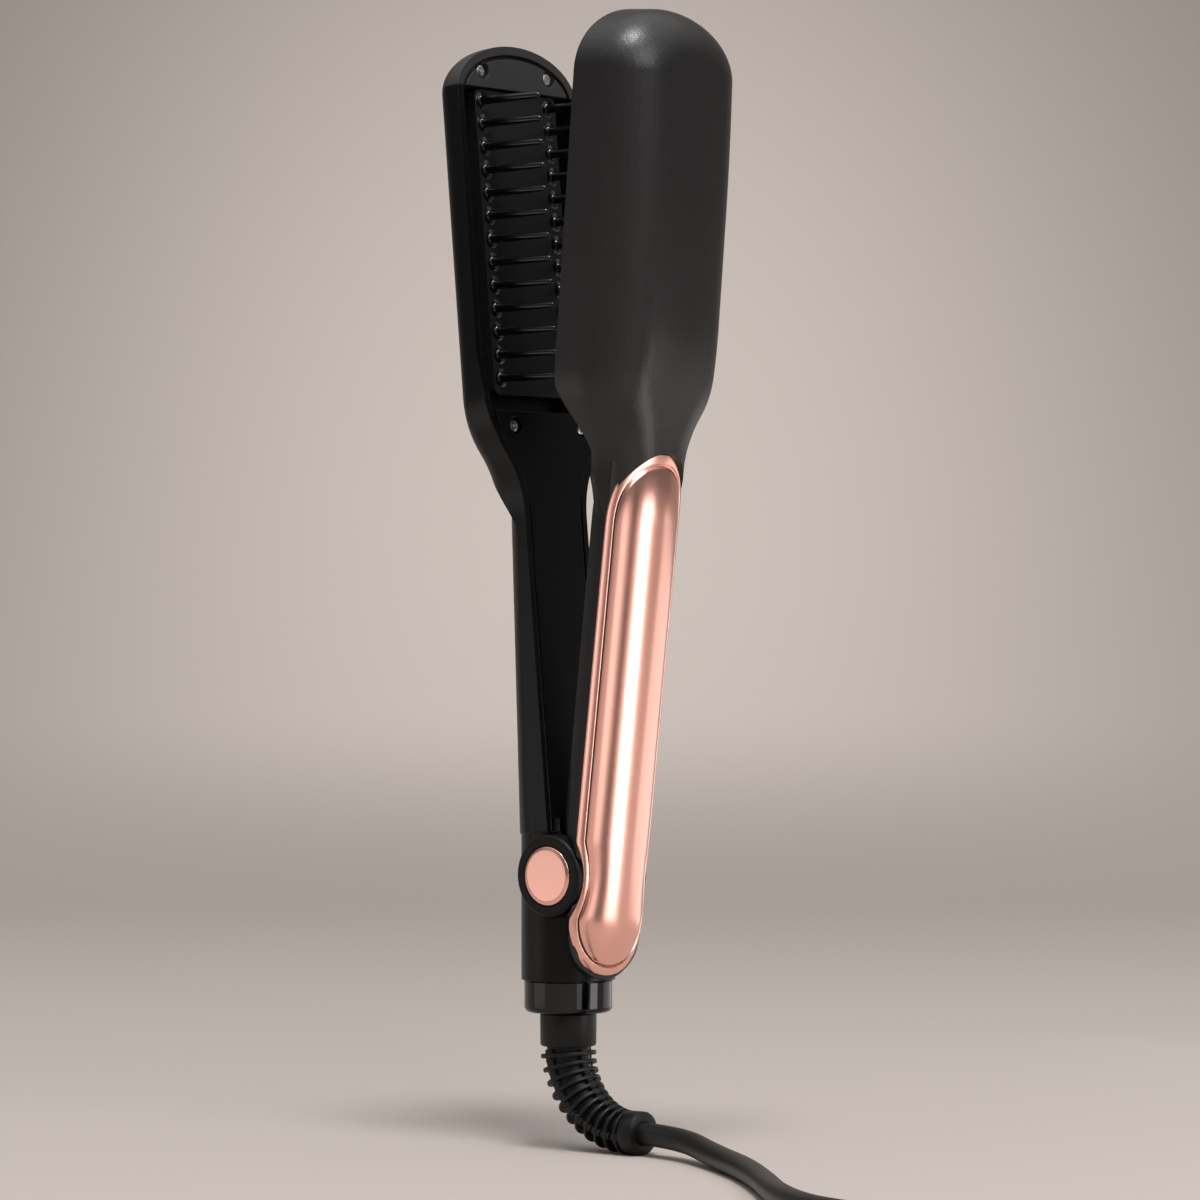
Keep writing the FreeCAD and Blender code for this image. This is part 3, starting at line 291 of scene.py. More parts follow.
# finishes: base colour, roughness, metallic, shine, grain size per metre, grain depth in metres,
# radius of the rounded edges and coat
finishSet = {
    "softBlack": ((0.0135, 0.0128, 0.0128), 0.37, 0, 0.42, 1700, 6e-5, 6e-4, 0),
    # a darker, duller copy of the shell's black plastic: painted shade for faces that lie in shade round the
    # handle and between the arms
    "shadedInnerBlack": ((0.0026, 0.0025, 0.0025), 0.30, 0, 0.22, 3000, 6e-6, 4e-4, 0),
    "tipGrey": ((0.026, 0.025, 0.025), 0.5, 0, 0.4, 2600, 4e-5, 3e-4, 0),
    "combPlate": ((0.0085, 0.0082, 0.0082), 0.42, 0, 0.35, 5000, 1.2e-5, 1e-4, 0),
    "combBlack": ((0.003, 0.003, 0.003), 0.2, 0, 0.5, 900, 4e-6, 0, 0),
    "roseGold": ((0.96, 0.51, 0.42), 0.22, 1, 0.5, 9000, 1e-6, 3e-4, 0),
    "bezelGrey": ((0.005, 0.0048, 0.0048), 0.4, 0, 0.18, 5000, 1e-5, 5e-4, 0),
    "blackChrome": ((0.036, 0.035, 0.036), 0.07, 1, 0.5, 700, 1e-6, 3e-4, 0),
    "plainSteel": ((0.62, 0.61, 0.60), 0.28, 1, 0.5, 2500, 6e-6, 2e-4, 0),
    "coatedPlate": ((0.03, 0.03, 0.033), 0.3, 0.4, 0.5, 2000, 6e-6, 3e-4, 0.3),
    "carrierPlastic": ((0.03, 0.03, 0.03), 0.5, 0, 0.5, 2500, 1e-5, 3e-4, 0),
    "paleCeramic": ((0.78, 0.75, 0.68), 0.45, 0, 0.5, 1500, 1e-5, 3e-4, 0),
    "boardGreen": ((0.03, 0.16, 0.07), 0.35, 0, 0.5, 1200, 1e-5, 2e-4, 0.3),
    "componentDark": ((0.04, 0.05, 0.10), 0.3, 0, 0.5, 1200, 6e-6, 3e-4, 0.2),
    "leadSleeve": ((0.45, 0.45, 0.43), 0.5, 0, 0.5, 1500, 1e-5, 2e-4, 0),
    "bootRubber": ((0.005, 0.0048, 0.0048), 0.42, 0, 0.28, 4200, 1.2e-5, 4e-4, 0),
    "cordRubber": ((0.006, 0.0058, 0.0058), 0.42, 0, 0.4, 3600, 8e-6, 0, 0),
    "tieFabric": ((0.02, 0.02, 0.02), 0.8, 0, 0.2, 1800, 6e-5, 2e-4, 0),
    "plugMetal": ((0.70, 0.69, 0.66), 0.2, 1, 0.5, 2000, 4e-6, 2e-4, 0),
}


grainSet = {"detail": 3, "mix": 0.6, "broadScale": 45, "broadDetail": 4, "toneShift": 0.04, "wearShift": 0.1,
            "edgeSamples": 6}


def makeGrainGroup(g):
    # fine and broad noise over the object's own coordinates: a height for the bump and a tone for the colour
    group = bpy.data.node_groups.new("fineGrain", "ShaderNodeTree")
    group.interface.new_socket("Vector", in_out="INPUT", socket_type="NodeSocketVector")
    group.interface.new_socket("Scale", in_out="INPUT", socket_type="NodeSocketFloat")
    group.interface.new_socket("Height", in_out="OUTPUT", socket_type="NodeSocketFloat")
    group.interface.new_socket("Tone", in_out="OUTPUT", socket_type="NodeSocketFloat")
    entry = group.nodes.new("NodeGroupInput")
    leave = group.nodes.new("NodeGroupOutput")
    fine = group.nodes.new("ShaderNodeTexNoise")
    fine.inputs["Detail"].default_value = g["detail"]
    fine.inputs["Roughness"].default_value = g["mix"]
    broad = group.nodes.new("ShaderNodeTexNoise")
    broad.inputs["Scale"].default_value = g["broadScale"]
    broad.inputs["Detail"].default_value = g["broadDetail"]
    group.links.new(entry.outputs["Vector"], fine.inputs["Vector"])
    group.links.new(entry.outputs["Scale"], fine.inputs["Scale"])
    group.links.new(entry.outputs["Vector"], broad.inputs["Vector"])
    group.links.new(fine.outputs["Fac"], leave.inputs["Height"])
    group.links.new(broad.outputs["Fac"], leave.inputs["Tone"])
    return group


grainGroup = makeGrainGroup(grainSet)


def makeFinish(name, values, g):
    colour, rough, metal, shine, size, depth, edge, coat = values
    mat = bpy.data.materials.new(name)
    mat.use_nodes = True
    tree = mat.node_tree
    shader = tree.nodes["Principled BSDF"]
    shader.inputs["Metallic"].default_value = metal
    shader.inputs["Specular IOR Level"].default_value = shine
    shader.inputs["Coat Weight"].default_value = coat
    place = tree.nodes.new("ShaderNodeTexCoord")
    grain = tree.nodes.new("ShaderNodeGroup")
    grain.node_tree = grainGroup
    grain.inputs["Scale"].default_value = size
    tint = tree.nodes.new("ShaderNodeMix")
    tint.data_type = "RGBA"
    tint.inputs["A"].default_value = (*[(1 - g["toneShift"]) * c for c in colour], 1)
    tint.inputs["B"].default_value = (*[min(1, (1 + g["toneShift"]) * c) for c in colour], 1)
    wear = tree.nodes.new("ShaderNodeMapRange")
    wear.inputs["To Min"].default_value = rough * (1 - g["wearShift"])
    wear.inputs["To Max"].default_value = rough * (1 + g["wearShift"])
    bump = tree.nodes.new("ShaderNodeBump")
    bump.inputs["Distance"].default_value = depth
    tree.links.new(place.outputs["Object"], grain.inputs["Vector"])
    tree.links.new(grain.outputs["Tone"], tint.inputs["Factor"])
    tree.links.new(grain.outputs["Tone"], wear.inputs["Value"])
    tree.links.new(grain.outputs["Height"], bump.inputs["Height"])
    tree.links.new(tint.outputs["Result"], shader.inputs["Base Color"])
    tree.links.new(wear.outputs["Result"], shader.inputs["Roughness"])
    tree.links.new(bump.outputs["Normal"], shader.inputs["Normal"])
    if edge:
        soft = tree.nodes.new("ShaderNodeBevel")
        soft.samples = g["edgeSamples"]
        soft.inputs["Radius"].default_value = edge
        tree.links.new(soft.outputs["Normal"], bump.inputs["Normal"])
    return mat


finishes = {name: makeFinish(name, values, grainSet) for name, values in finishSet.items()}
print("finishes made:", len(finishes))

# inner pieces keep their solids and only take a finish
innerFinish = {
    "hinge_pin": "plainSteel", "opening_spring": "plainSteel", "switch_board": "boardGreen",
    "tact_switch": "componentDark", "switch_stem": "bezelGrey", "control_board": "boardGreen",
    "supply_capacitor": "componentDark", "triac": "componentDark", "supply_leads": "leadSleeve",
    "hinge_yoke": "plainSteel", "heater_element": "paleCeramic", "thermal_fuse": "plainSteel",
    "heater_leads": "leadSleeve", "swivel_bush": "bezelGrey", "grip_screws": "plainSteel",
}
for name, finish in innerFinish.items():
    nodes[name].data.materials.clear()
    nodes[name].data.materials.append(finishes[finish])


# frames of the two leaning arms, each with its pivot at zero, in millimetres
armSet = {"pivot": (0, -6, 36.8), "plateLean": 4.9, "combLean": -5.3}


def armPoint(x, y, z, lean=armSet["plateLean"]):
    turn = math.radians(lean)
    px, py, pz = armSet["pivot"]
    away = y * math.cos(turn) - z * math.sin(turn) + py
    rise = y * math.sin(turn) + z * math.cos(turn) + pz
    return Vector(((px + x) * mm, away * mm, rise * mm))


def plateLocal(spot):
    turn = math.radians(armSet["plateLean"])
    px, py, pz = armSet["pivot"]
    away, rise = spot.y / mm - py, spot.z / mm - pz
    out = away * math.cos(turn) + rise * math.sin(turn)
    return spot.x / mm - px, out, rise * math.cos(turn) - away * math.sin(turn)


def ease(value, low, high):
    share = min(1, max(0, (value - low) / (high - low)))
    return share * share * (3 - 2 * share)


# the heated arm's shell: the head swells towards its middle and the grip's back is a little fuller
swellSet = {"halfWidth": 27.0, "front": -21.55, "deep": 14.0, "crown": 5.0, "neck": 124.0, "full": 165.0,
            "top": 257.5, "topReach": 60.0, "step": 1.6, "rise": 5.0,
            "back": -3.5, "backNear": 0.3, "slope": -0.033, "backFull": 2.2, "backLow": 10.0, "backHigh": 114.0,
            "backRun": 16.0, "low": -30.2, "tipReach": 18.0, "tipFall": 2.8, "tipFrom": 9.5, "tipFull": 13.5}


def swellHead(work, s):
    across = Vector((1, 0, 0))
    along = armPoint(0, 0, 1) - armPoint(0, 0, 0)
    count = int(s["halfWidth"] / s["step"])
    for k in range(-count, count + 1):
        bmesh.ops.bisect_plane(work, geom=work.verts[:] + work.edges[:] + work.faces[:], dist=weldGap,
                               plane_co=(k * s["step"] * mm, 0, 0), plane_no=across)
    for k in range(int((s["top"] - s["neck"]) / s["rise"])):
        bmesh.ops.bisect_plane(work, geom=work.verts[:] + work.edges[:] + work.faces[:], dist=weldGap,
                               plane_co=armPoint(0, 0, s["neck"] + k * s["rise"]), plane_no=along)
    for vert in work.verts:
        x, y, z = plateLocal(vert.co)
        share = 1 - ease(y, s["front"], s["front"] + s["deep"])
        tall = min(1, max(0, (z - s["top"] + s["topReach"]) / s["topReach"]))
        wide = min(1, abs(x) / s["halfWidth"])
        out = s["crown"] * share * (1 - wide ** 2) * (1 - tall ** 2) * ease(z, s["neck"], s["full"])
        vert.co = armPoint(x, y - out, z)


def fillBack(work, s):
    # the grip's lower end also draws in towards the barrel
    for vert in work.verts:
        x, y, z = plateLocal(vert.co)
        tip = max(0, 1 - (z - s["low"]) / s["tipReach"])
        vert.co = armPoint(x, y + s["tipFall"] * tip * tip * ease(-y, s["tipFrom"], s["tipFull"]), z)
        if y > s["back"] + s["slope"] * z - s["backNear"]:
            low = ease(z, s["backLow"], s["backLow"] + s["backRun"])
            high = 1 - ease(z, s["backHigh"] - s["backRun"], s["backHigh"])
            vert.co = armPoint(x, y + (s["backFull"] - s["slope"] * z) * low * high, z)


# outer pieces: the solid's own surface, joined and smoothed
skinGap = 2e-6
skinSharp = 32


def smoothCopy(name, angle):
    node = nodes[name]
    work = bmesh.new()
    work.from_mesh(node.data)
    work.transform(node.matrix_world)
    bmesh.ops.remove_doubles(work, verts=work.verts, dist=skinGap)
    if name == "plate_arm_shell":
        swellHead(work, swellSet)
    if name in ("plate_arm_shell", "grip_back_cover"):
        fillBack(work, swellSet)
    mesh = meshFrom(name, work, angle)
    holder = bpy.data.objects.new(name + "Copy", mesh)
    scene.collection.objects.link(holder)
    even = holder.modifiers.new("even", "WEIGHTED_NORMAL")
    even.keep_sharp = True
    shaped = bpy.data.meshes.new_from_object(holder.evaluated_get(bpy.context.evaluated_depsgraph_get()))
    bpy.data.objects.remove(holder)
    return shaped


# the comb arm shell, handle cover, barrel front and grip back take the darker black copy, which is painted shade
outerFinish = {
    "comb_arm_shell": ("combArmSkin", "shadedInnerBlack"), "comb_tip_cap": ("combTipSkin", "tipGrey"),
    "comb_plate": ("combPlateSkin", "combPlate"), "handle_inner_cover": ("handleCoverSkin", "shadedInnerBlack"),
    "barrel_front_half": ("barrelFrontSkin", "shadedInnerBlack"), "button_bezel": ("buttonBezelRing", "bezelGrey"),
    "far_pivot_cap": ("farPivotSkin", "bezelGrey"), "collar_ring": ("collarBand", "blackChrome"),
    "plate_arm_shell": ("plateArmSkin", "softBlack"), "grip_back_cover": ("gripBackSkin", "shadedInnerBlack"),
    "plate_carrier": ("plateCarrierSkin", "carrierPlastic"),
    "heater_plate": ("heaterPlateSkin", "coatedPlate"),
    "cord_tie": ("cordTieBand", "tieFabric"), "plug_body": ("plugBodySkin", "bootRubber"),
    "plug_pins": ("plugPinPair", "plugMetal"),
}
for node, (name, finish) in outerFinish.items():
    body = body_of(nodes[node])[0]
    mesh = smoothCopy(node, skinSharp)
    addPiece(name, mesh, body, finishes[finish], [node])


# metal trim on the grip: a flat rim, a fine groove and a swelling panel, in the arm's own millimetres;
# the steps are inset from the outline and height
trimSet = {
    "halfWidth": 16.8, "sideY": -10.5, "crownY": -16.3, "slope": -0.033, "low": -29.0, "lowRise": 17.5,
    "high": 127.0, "highRise": 22.0, "tipFall": 2.8, "tipReach": 18.0, "notchDepth": 3.1, "notchHalf": 11.5,
    "notchPower": 1.2, "fullness": 0.86, "endSteps": 40, "sideSteps": 110, "back": -0.8, "sharp": 40,
    "steps": [(0, -0.25), (0.25, 0), (2.25, 0), (2.5, -0.1), (2.7, -0.55), (2.95, -0.65), (3.2, -0.5),
              (3.5, -0.12), (4.1, 0.08), (5.2, 0.3), (6.8, 0.58), (9.0, 0.86), (11.5, 1.05), (14.5, 1.15)],
}


def makeTrim(t):
    sag = t["sideY"] - t["crownY"]
    curve = (t["halfWidth"] ** 2 + sag ** 2) / (2 * sag)
    span = curve * math.asin(t["halfWidth"] / curve)
    lowBase, highBase = t["low"] + t["lowRise"], t["high"] - t["highRise"]

    def surface(across, z, height):
        turn = across / curve
        tip = max(0, 1 - (z - t["low"]) / t["tipReach"])
        x = curve * math.sin(turn) + height * math.sin(turn)
        y = t["crownY"] + curve * (1 - math.cos(turn)) - height * math.cos(turn)
        return armPoint(x, y + t["slope"] * z + t["tipFall"] * tip * tip, z)

    def full(value):
        return math.copysign(abs(value) ** t["fullness"], value)

    def ring(inset, height):
        share = 1 - inset / span
        points = []
        for k in range(t["endSteps"]):
            turn = math.pi * k / t["endSteps"]
            points.append((span * math.cos(turn), lowBase - t["lowRise"] * share * math.sin(turn), 0))
        for k in range(t["sideSteps"]):
            z = lowBase + (highBase - lowBase) * k / t["sideSteps"]
            points.append((-span, z, notch(z)))
        for k in range(t["endSteps"]):
            turn = math.pi * k / t["endSteps"]
            rise = t["highRise"] * share * full(math.sin(turn))
            points.append((-span * full(math.cos(turn)), highBase + rise, 0))
        for k in range(t["sideSteps"]):
            z = highBase + (lowBase - highBase) * k / t["sideSteps"]
            points.append((span, z, notch(z)))
        out = []
        for across, z, cut in points:
            reach = share - cut * share * share / span
            out.append(surface(across * reach, z, height))
        return out

    def notch(z):
        near = min(1, abs(z) / t["notchHalf"])
        return t["notchDepth"] * (1 - near * near) ** t["notchPower"]

    work = bmesh.new()
    rows = [ring(span, t["back"]), ring(span * 0.5, t["back"]), ring(0, t["back"])]
    rows += [ring(inset, height) for inset, height in t["steps"]] + [ring(span, t["steps"][-1][1])]
    verts = [[work.verts.new(spot) for spot in row] for row in rows]
    for one, two in zip(verts, verts[1:]):
        for k in range(len(one)):
            work.faces.new((one[k - 1], one[k], two[k], two[k - 1]))
    return meshFrom("gripTrimPress", work, t["sharp"])


addPiece("gripTrimPress", makeTrim(trimSet), "plate_arm", finishes["roseGold"],
                              ["grip_trim"])
print("grip trim shaped")


# parts that repeat: one source part on many points, each with its own turn and size
def makeRepeatGroup():
    group = bpy.data.node_groups.new("repeatParts", "GeometryNodeTree")
    for label, kind in (("Geometry", "Geometry"), ("Source", "Object"), ("Finish", "Material")):
        group.interface.new_socket(label, in_out="INPUT", socket_type="NodeSocket" + kind)
    group.interface.new_socket("Geometry", in_out="OUTPUT", socket_type="NodeSocketGeometry")
    entry = group.nodes.new("NodeGroupInput")
    leave = group.nodes.new("NodeGroupOutput")
    source = group.nodes.new("GeometryNodeObjectInfo")
    turn = group.nodes.new("GeometryNodeInputNamedAttribute")
    turn.data_type = "FLOAT_VECTOR"
    turn.inputs["Name"].default_value = "turn"
    size = group.nodes.new("GeometryNodeInputNamedAttribute")
    size.inputs["Name"].default_value = "size"
    spread = group.nodes.new("GeometryNodeInstanceOnPoints")
    solid = group.nodes.new("GeometryNodeRealizeInstances")
    coat = group.nodes.new("GeometryNodeSetMaterial")
    links = group.links
    links.new(entry.outputs["Geometry"], spread.inputs["Points"])
    links.new(entry.outputs["Source"], source.inputs["Object"])
    links.new(source.outputs["Geometry"], spread.inputs["Instance"])
    links.new(turn.outputs["Attribute"], spread.inputs["Rotation"])
    links.new(size.outputs["Attribute"], spread.inputs["Scale"])
    links.new(spread.outputs["Instances"], solid.inputs["Geometry"])
    links.new(solid.outputs["Geometry"], coat.inputs["Geometry"])
    links.new(entry.outputs["Finish"], coat.inputs["Material"])
    links.new(coat.outputs["Geometry"], leave.inputs["Geometry"])
    return group


repeatGroup = makeRepeatGroup()
repeatSocket = {item.name: item.identifier for item in repeatGroup.interface.items_tree
                if item.in_out == "INPUT"}


def repeatMesh(name, source, finish, spots):
    # spots: (place in metres, turn about X, size)
    points = bpy.data.meshes.new(name + "Points")
    points.from_pydata([tuple(place) for place, turn, size in spots], [], [])
    points.attributes.new("turn", "FLOAT_VECTOR", "POINT")
    points.attributes.new("size", "FLOAT", "POINT")
    for k, (place, turn, size) in enumerate(spots):
        points.attributes["turn"].data[k].vector = (turn, 0, 0)
        points.attributes["size"].data[k].value = size
    part = bpy.data.objects.new(name + "Source", source)
    holder = bpy.data.objects.new(name + "Holder", points)
    for thing in (part, holder):
        scene.collection.objects.link(thing)
    repeat = holder.modifiers.new("repeat", "NODES")
    repeat.node_group = repeatGroup
    repeat[repeatSocket["Source"]] = part
    repeat[repeatSocket["Finish"]] = finish
    mesh = bpy.data.meshes.new_from_object(holder.evaluated_get(bpy.context.evaluated_depsgraph_get()))
    mesh.name = name
    bpy.data.objects.remove(holder)
    bpy.data.objects.remove(part)
    return mesh


def loft(work, rings):
    rows = [[work.verts.new(spot) for spot in ring] for ring in rings]
    for one, two in zip(rows, rows[1:]):
        for k in range(len(one)):
            work.faces.new((one[k - 1], one[k], two[k], two[k - 1]))
    work.faces.new(rows[0])
    work.faces.new(rows[-1])


def around(count, start=0):
    return [start + 2 * math.pi * k / count for k in range(count)]


# comb teeth: level, slender, each on a flush foot in its hole; the steps are reach and radius
toothSet = {"columns": {"near": -15.0, "far": 15.0}, "face": 5.7, "first": 149.6, "pitch": 7.0, "rows": 13,
            "sides": 20, "footTop": 0.3, "sharp": 50,
            "steps": [(-3.9, 2.6), (-0.05, 2.85), (0.0, 2.8), (0.12, 2.05), (0.35, 1.66), (0.8, 1.46),
                      (1.6, 1.36), (8, 1.26), (16, 1.08), (21.5, 0.92), (22.4, 0.76), (22.9, 0.45),
                      (23.05, 0.1)]}


def makeTooth(t):
    tilt = math.tan(math.radians(-armSet["combLean"]))
    work = bmesh.new()
    rings = []
    for out, radius in t["steps"]:
        lean = tilt if out < t["footTop"] else 0  # the foot lies on the leaning comb face
        rings.append([(radius * mm * math.cos(a), (-out + lean * radius * math.sin(a)) * mm,
                       radius * mm * math.sin(a)) for a in around(t["sides"])])
    loft(work, rings)
    return meshFrom("combTooth", work, t["sharp"])


for side, column in toothSet["columns"].items():
    rise = [toothSet["first"] + toothSet["pitch"] * row for row in range(toothSet["rows"])]
    spots = [(armPoint(column, toothSet["face"], z, armSet["combLean"]), 0, 1) for z in rise]
    teeth = repeatMesh(side + "CombTeeth", makeTooth(toothSet), finishes["combBlack"], spots)
    strip = side + "_comb_strip"
    addPiece(side + "CombTeeth", teeth, "comb_arm", None, [strip])

# cross-recess screws of the comb arm
screwSet = {"head": 1.75, "height": 1.2, "dome": 0.25, "shank": 1.0, "length": 5.0, "point": 1.0,
            "pointEnd": 0.4, "armHalf": 0.26, "armLong": 0.95, "armTurn": 0.45, "deep": 0.6, "floor": 0.8,
            "sharp": 30,
            "domeSteps": [(1.6, 1.0), (0.6, 0.93), (0, 0.72)],
            "tip": (15.0, 5.2, 242.6), "neck": (15.2, 1.5, 134.6)}


def makeScrew(s):
    half, long = s["armHalf"], s["armLong"]
    edge = math.atan2(half, long)
    bend = s["armTurn"]
    quarter = [0, edge, bend, math.pi / 4, math.pi / 2 - bend, math.pi / 2 - edge]
    turns = [math.pi / 2 * k + turn for k in range(4) for turn in quarter]

    def cross(turn):
        near = abs((turn + math.pi / 4) % (math.pi / 2) - math.pi / 4)
        return long / math.cos(near) if near <= edge + 1e-6 else half / math.sin(near)

    def ring(out, radii):
        return [(r * mm * math.cos(a), -out * mm, r * mm * math.sin(a)) for a, r in zip(turns, radii)]

    def disc(out, radius):
        return ring(out, [radius] * len(turns))

    under, arms = -s["height"], [cross(turn) for turn in turns]
    end = under - s["length"]
    rows = [disc(end, s["shank"] * s["pointEnd"]), disc(end + s["point"], s["shank"])]
    rows += [disc(under, s["shank"]), disc(under, s["head"])]
    rows += [disc(-s["dome"] * down, s["head"] * share) for down, share in s["domeSteps"]]
    rows += [ring(0, arms), ring(-s["deep"], [reach * s["floor"] for reach in arms])]
    work = bmesh.new()
    loft(work, rows)
    return meshFrom("crossScrew", work, s["sharp"])


for node, name, label in (("tip_screws", "tip", "tipScrewHeads"), ("neck_screws", "neck", "neckScrewHeads")):
    x, y, z = screwSet[name]
    lean = armSet["combLean"]
    spots = [(armPoint(sign * x, y, z, lean), math.radians(lean), 1) for sign in (1, -1)]
    heads = repeatMesh(label, makeScrew(screwSet), finishes["plainSteel"], spots)
    addPiece(label, heads, "comb_arm", None, [node])
print("comb teeth and screws set")

# power button: a turned cap with a broad bevel round its face, on its plunger; the steps are reach and radius
buttonSet = {"y": -6.0, "z": 36.8, "sides": 72, "sharp": 22,
             "steps": [(13.4, 2.2), (13.6, 2.4), (15.1, 2.4), (15.1, 8.4), (15.3, 8.62), (16.55, 8.72),
                       (16.68, 8.66), (17.02, 7.92), (17.08, 7.76), (17.06, 7.62), (17.0, 7.5), (17.03, 6.0),
                       (17.04, 0.3)]}


def makeButton(b):
    work = bmesh.new()
    loft(work, [[(-out * mm, (b["y"] + r * math.cos(a)) * mm, (b["z"] + r * math.sin(a)) * mm)
                 for a in around(b["sides"])] for out, r in b["steps"]])
    return meshFrom("powerButtonCap", work, b["sharp"])


addPiece("powerButtonCap", makeButton(buttonSet), "power_button",
                                 finishes["roseGold"], ["power_button"])

# cord boot: a sleeve with a plain neck and end, and slotted rings joined by four spines round the bend
# the steps are distance along it and radius
bootSet = {"top": -5.0, "neck": 10.0, "bend": 24.2, "neckRadius": 8.5, "endRadius": 6.5, "sides": 48,
           "bendSteps": 24, "rings": 11, "ringStart": 0.72, "ringHigh": 1.35, "ringWall": 2.2, "round": 0.35,
           "softShare": 0.3, "spines": 4, "spineTurn": -12, "spineHalf": 1.15, "spineIn": 0.35, "spineDeep": 0.6,
           "spineOver": 0.1, "sleeveSharp": 30, "ringSharp": 40,
           "neckSteps": [(0.0, 8.1), (0.25, 8.45), (0.7, 8.5), (9.3, 8.42), (9.75, 8.2), (9.9, 7.8),
                         (9.9, 6.5)],
           "endSteps": [(0.0, 4.6), (0.0, 5.9), (0.15, 6.3), (0.5, 6.5), (5.0, 6.5), (5.35, 6.35), (5.5, 6.0),
                        (5.5, 3.62), (0.25, 3.62)]}


def bootPlace(b, turn, along):
    # a point on the boot's centre line and the line's direction there
    way = Vector((0, -math.sin(turn), -math.cos(turn)))
    out = Vector((0, math.cos(turn), -math.sin(turn)))
    centre = Vector((0, -b["bend"], b["top"] - b["neck"]))
    return centre + out * b["bend"] + way * along, way, out


def makeBootSleeve(b):
    def ring(turn, along, radius):
        spot, way, out = bootPlace(b, turn, along)
        side = Vector((1, 0, 0))
        return [(spot + (side * math.cos(a) + out * math.sin(a)) * radius) * mm for a in around(b["sides"])]

    rings = [ring(0, along - b["neck"], radius) for along, radius in b["neckSteps"]]
    coreLow, coreHigh = b["neckSteps"][-1][1], b["endSteps"][0][1]
    for k in range(b["bendSteps"] + 1):
        share = k / b["bendSteps"]
        rings.append(ring(math.pi / 2 * share, 0, coreLow + (coreHigh - coreLow) * share))
    rings += [ring(math.pi / 2, along, radius) for along, radius in b["endSteps"]]
    work = bmesh.new()
    loft(work, rings)
    return meshFrom("bootSleeve", work, b["sleeveSharp"])


def makeBootRing(b):
    outer, half, soft = b["neckRadius"], b["ringHigh"] / 2, b["round"]
    inner, bit = outer - b["ringWall"], soft * b["softShare"]
    profile = [(inner, -half), (outer - soft, -half), (outer - bit, -half + bit), (outer, -half + soft),
               (outer, half - soft), (outer - bit, half - bit), (outer - soft, half), (inner, half)]
    work = bmesh.new()
    rows = [[work.verts.new((r * mm * math.cos(a), r * mm * math.sin(a), z * mm)) for r, z in profile]
            for a in around(b["sides"])]
    for k in range(len(rows)):
        one, two = rows[k - 1], rows[k]
        for j in range(len(profile)):
            work.faces.new((one[j - 1], one[j], two[j], two[j - 1]))
    pitch = math.pi / 2 / b["rings"]
    for k in range(b["spines"]):
        turn = math.radians(b["spineTurn"] + 360 / b["spines"] * k - 90)
        away = Vector((math.cos(turn), math.sin(turn), 0))
        side = Vector((-away.y, away.x, 0))
        reach = pitch * (b["bend"] + outer * away.y) / 2 + b["spineOver"]
        wide, deep, top = b["spineHalf"], inner - b["spineDeep"], outer - b["spineIn"]
        shape = [(deep, -wide), (top - soft, -wide), (top, -wide + soft), (top, wide - soft),
                 (top - soft, wide), (deep, wide)]
        loft(work, [[(away * r + side * w + Vector((0, 0, z))) * mm for r, w in shape]
                    for z in (-reach, reach)])
    return meshFrom("bootRing", work, b["ringSharp"])


def makeBoot(b):
    spots = []
    for k in range(b["rings"]):
        share = (k + b["ringStart"]) / b["rings"]
        turn = math.pi / 2 * share
        spot, way, out = bootPlace(b, turn, 0)
        spots.append((spot * mm, -turn, 1 + (b["endRadius"] / b["neckRadius"] - 1) * share))
    rings = repeatMesh("bootRings", makeBootRing(b), finishes["bootRubber"], spots)
    addPiece("bootRings", rings, "cord_swivel", None, ["cord_boot"])
    addPiece("bootSleeve", makeBootSleeve(b), "cord_swivel", finishes["bootRubber"], ["cord_boot"])


makeBoot(bootSet)
print("button and boot made")

# power cord: the route of the lead, then its tied coil, as one smooth line
cordSet = {"diameter": 0.007, "floorCentre": -0.0422, "outerRadius": 0.0465, "halfTurns": 5, "pitch": 0.0076,
           "layer": 0.0076, "plugRise": 0.011, "overRadius": 0.030, "overTurn": 135, "tail": 0.004,
           "perHalfTurn": 8, "length": 1.69, "lineSteps": 8, "roundSteps": 6}
# x, y and rise above the floor line
cordRoute = [
    (0.0, -0.0246, 0.0030), (0.0, -0.0435, 0.0030), (-0.0115, -0.0660, 0.0002), (-0.0335, -0.0985, 0.0),
    (-0.0790, -0.1450, 0.0001), (-0.0900, -0.1780, 0.0004), (-0.0890, -0.2190, 0.0009),
    (-0.0820, -0.2580, 0.0018), (-0.0775, -0.2970, 0.0018),
]


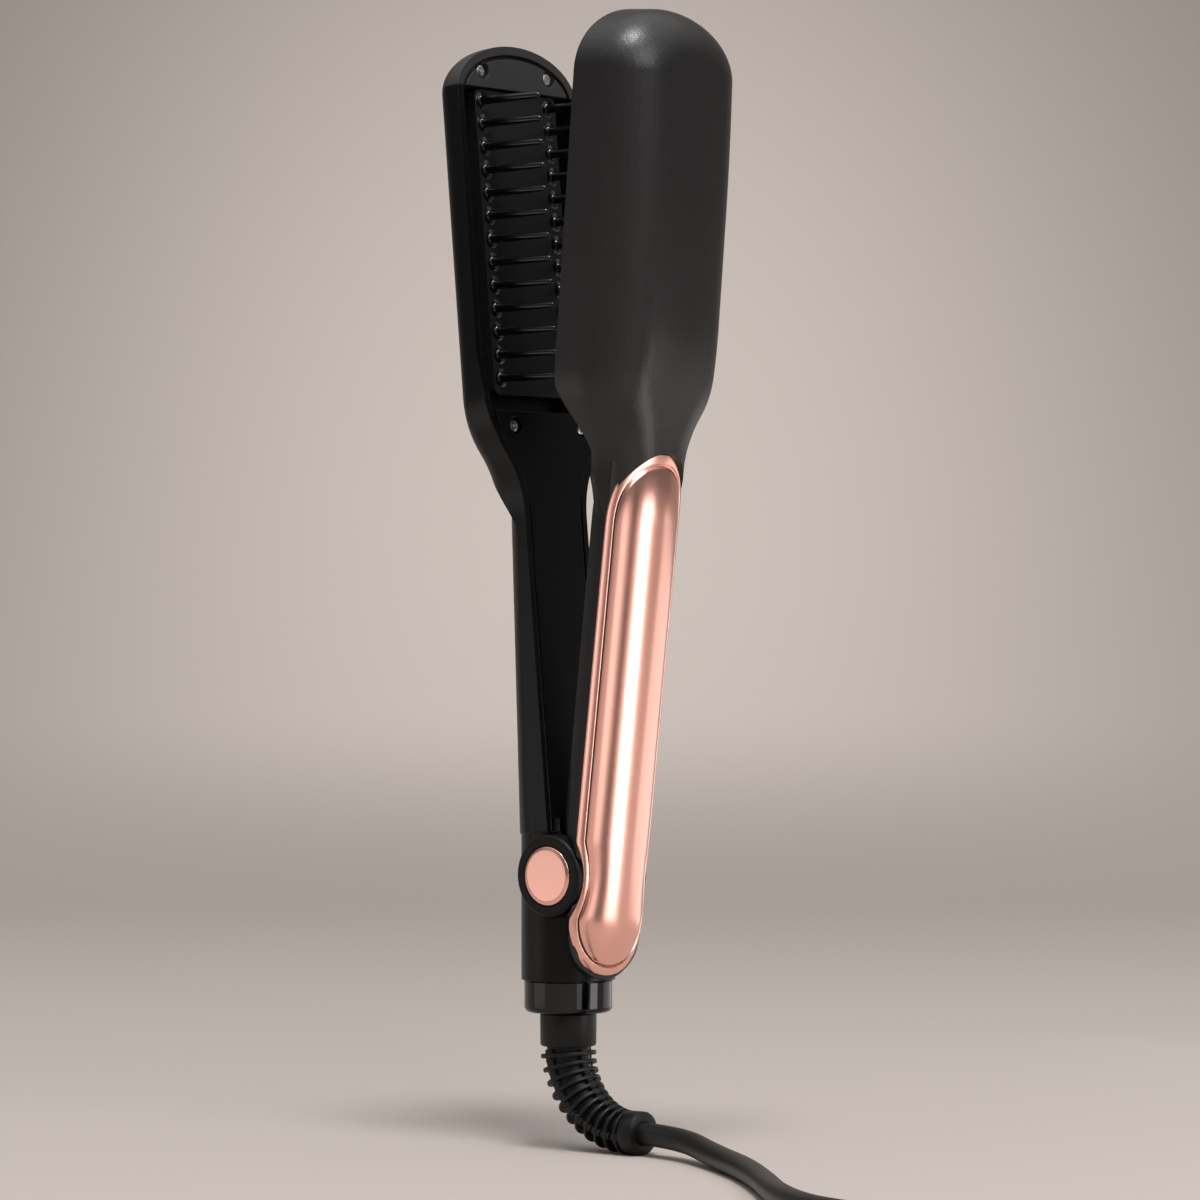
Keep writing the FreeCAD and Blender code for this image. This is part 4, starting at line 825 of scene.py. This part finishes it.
def coilPoints(c, start, way):
    side = Vector((-way.y, way.x, 0))
    shrink = c["pitch"] / 2
    inward = [c["outerRadius"] - shrink * turn for turn in range(c["halfTurns"])]
    turns = [(radius, 0) for radius in inward] + [(inward[-1] - shrink, c["layer"])]
    turns += [(radius, 0) for radius in reversed(inward[1:])] + [(c["outerRadius"], c["plugRise"])]
    step = math.pi / c["perHalfTurn"]
    swell = 2 / (1 + math.cos(step / 2))  # the line runs inside its control points
    points = []
    place = start + way * c["diameter"]
    for number, (radius, climb) in enumerate(turns):
        sign = 1 if number % 2 == 0 else -1
        centre = place + side * sign * radius
        for k in range(c["perHalfTurn"]):
            turn = step * (k + 0.5)
            spot = centre + (way * math.sin(turn) - side * math.cos(turn)) * sign * radius * swell
            points.append(spot + Vector((0, 0, climb * (1 - math.cos(turn)) / 2)))
        place = place + side * sign * 2 * radius + Vector((0, 0, climb))
    centre = place - side * c["overRadius"]
    over = math.radians(c["overTurn"])
    count = round(over / step)
    for k in range(count):
        turn = over / count * (k + 0.5)
        points.append(centre + (side * math.cos(turn) - way * math.sin(turn)) * c["overRadius"] * swell)
    plugWay = -side * math.sin(over) - way * math.cos(over)
    overEnd = centre + (side * math.cos(over) - way * math.sin(over)) * c["overRadius"]
    return points + [overEnd + plugWay * c["tail"] / 2, overEnd + plugWay * c["tail"]]


def makeCord(c, route):
    points = [Vector((x, y, c["floorCentre"] + rise)) for x, y, rise in route]
    way = points[-1] - points[-2]
    way.z = 0
    way.normalize()
    points += coilPoints(c, points[-1], way)
    curve = bpy.data.curves.new("powerLead", "CURVE")
    curve.dimensions = "3D"
    spline = curve.splines.new("NURBS")
    spline.points.add(len(points) - 1)
    for point, spot in zip(spline.points, points):
        point.co = (*spot, 1)
    spline.order_u = 3
    spline.use_endpoint_u = True
    curve.resolution_u = c["lineSteps"]
    curve.bevel_depth = c["diameter"] / 2
    curve.bevel_resolution = c["roundSteps"]
    curve.use_fill_caps = True
    curve.materials.append(finishes["cordRubber"])
    lead = bpy.data.objects.new("powerLead", curve)
    scene.collection.objects.link(lead)
    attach(lead, "cord_swivel")
    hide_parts("power_cord", "cord_coil")


makeCord(cordSet, cordRoute)
print("power lead laid, coiled and tied")
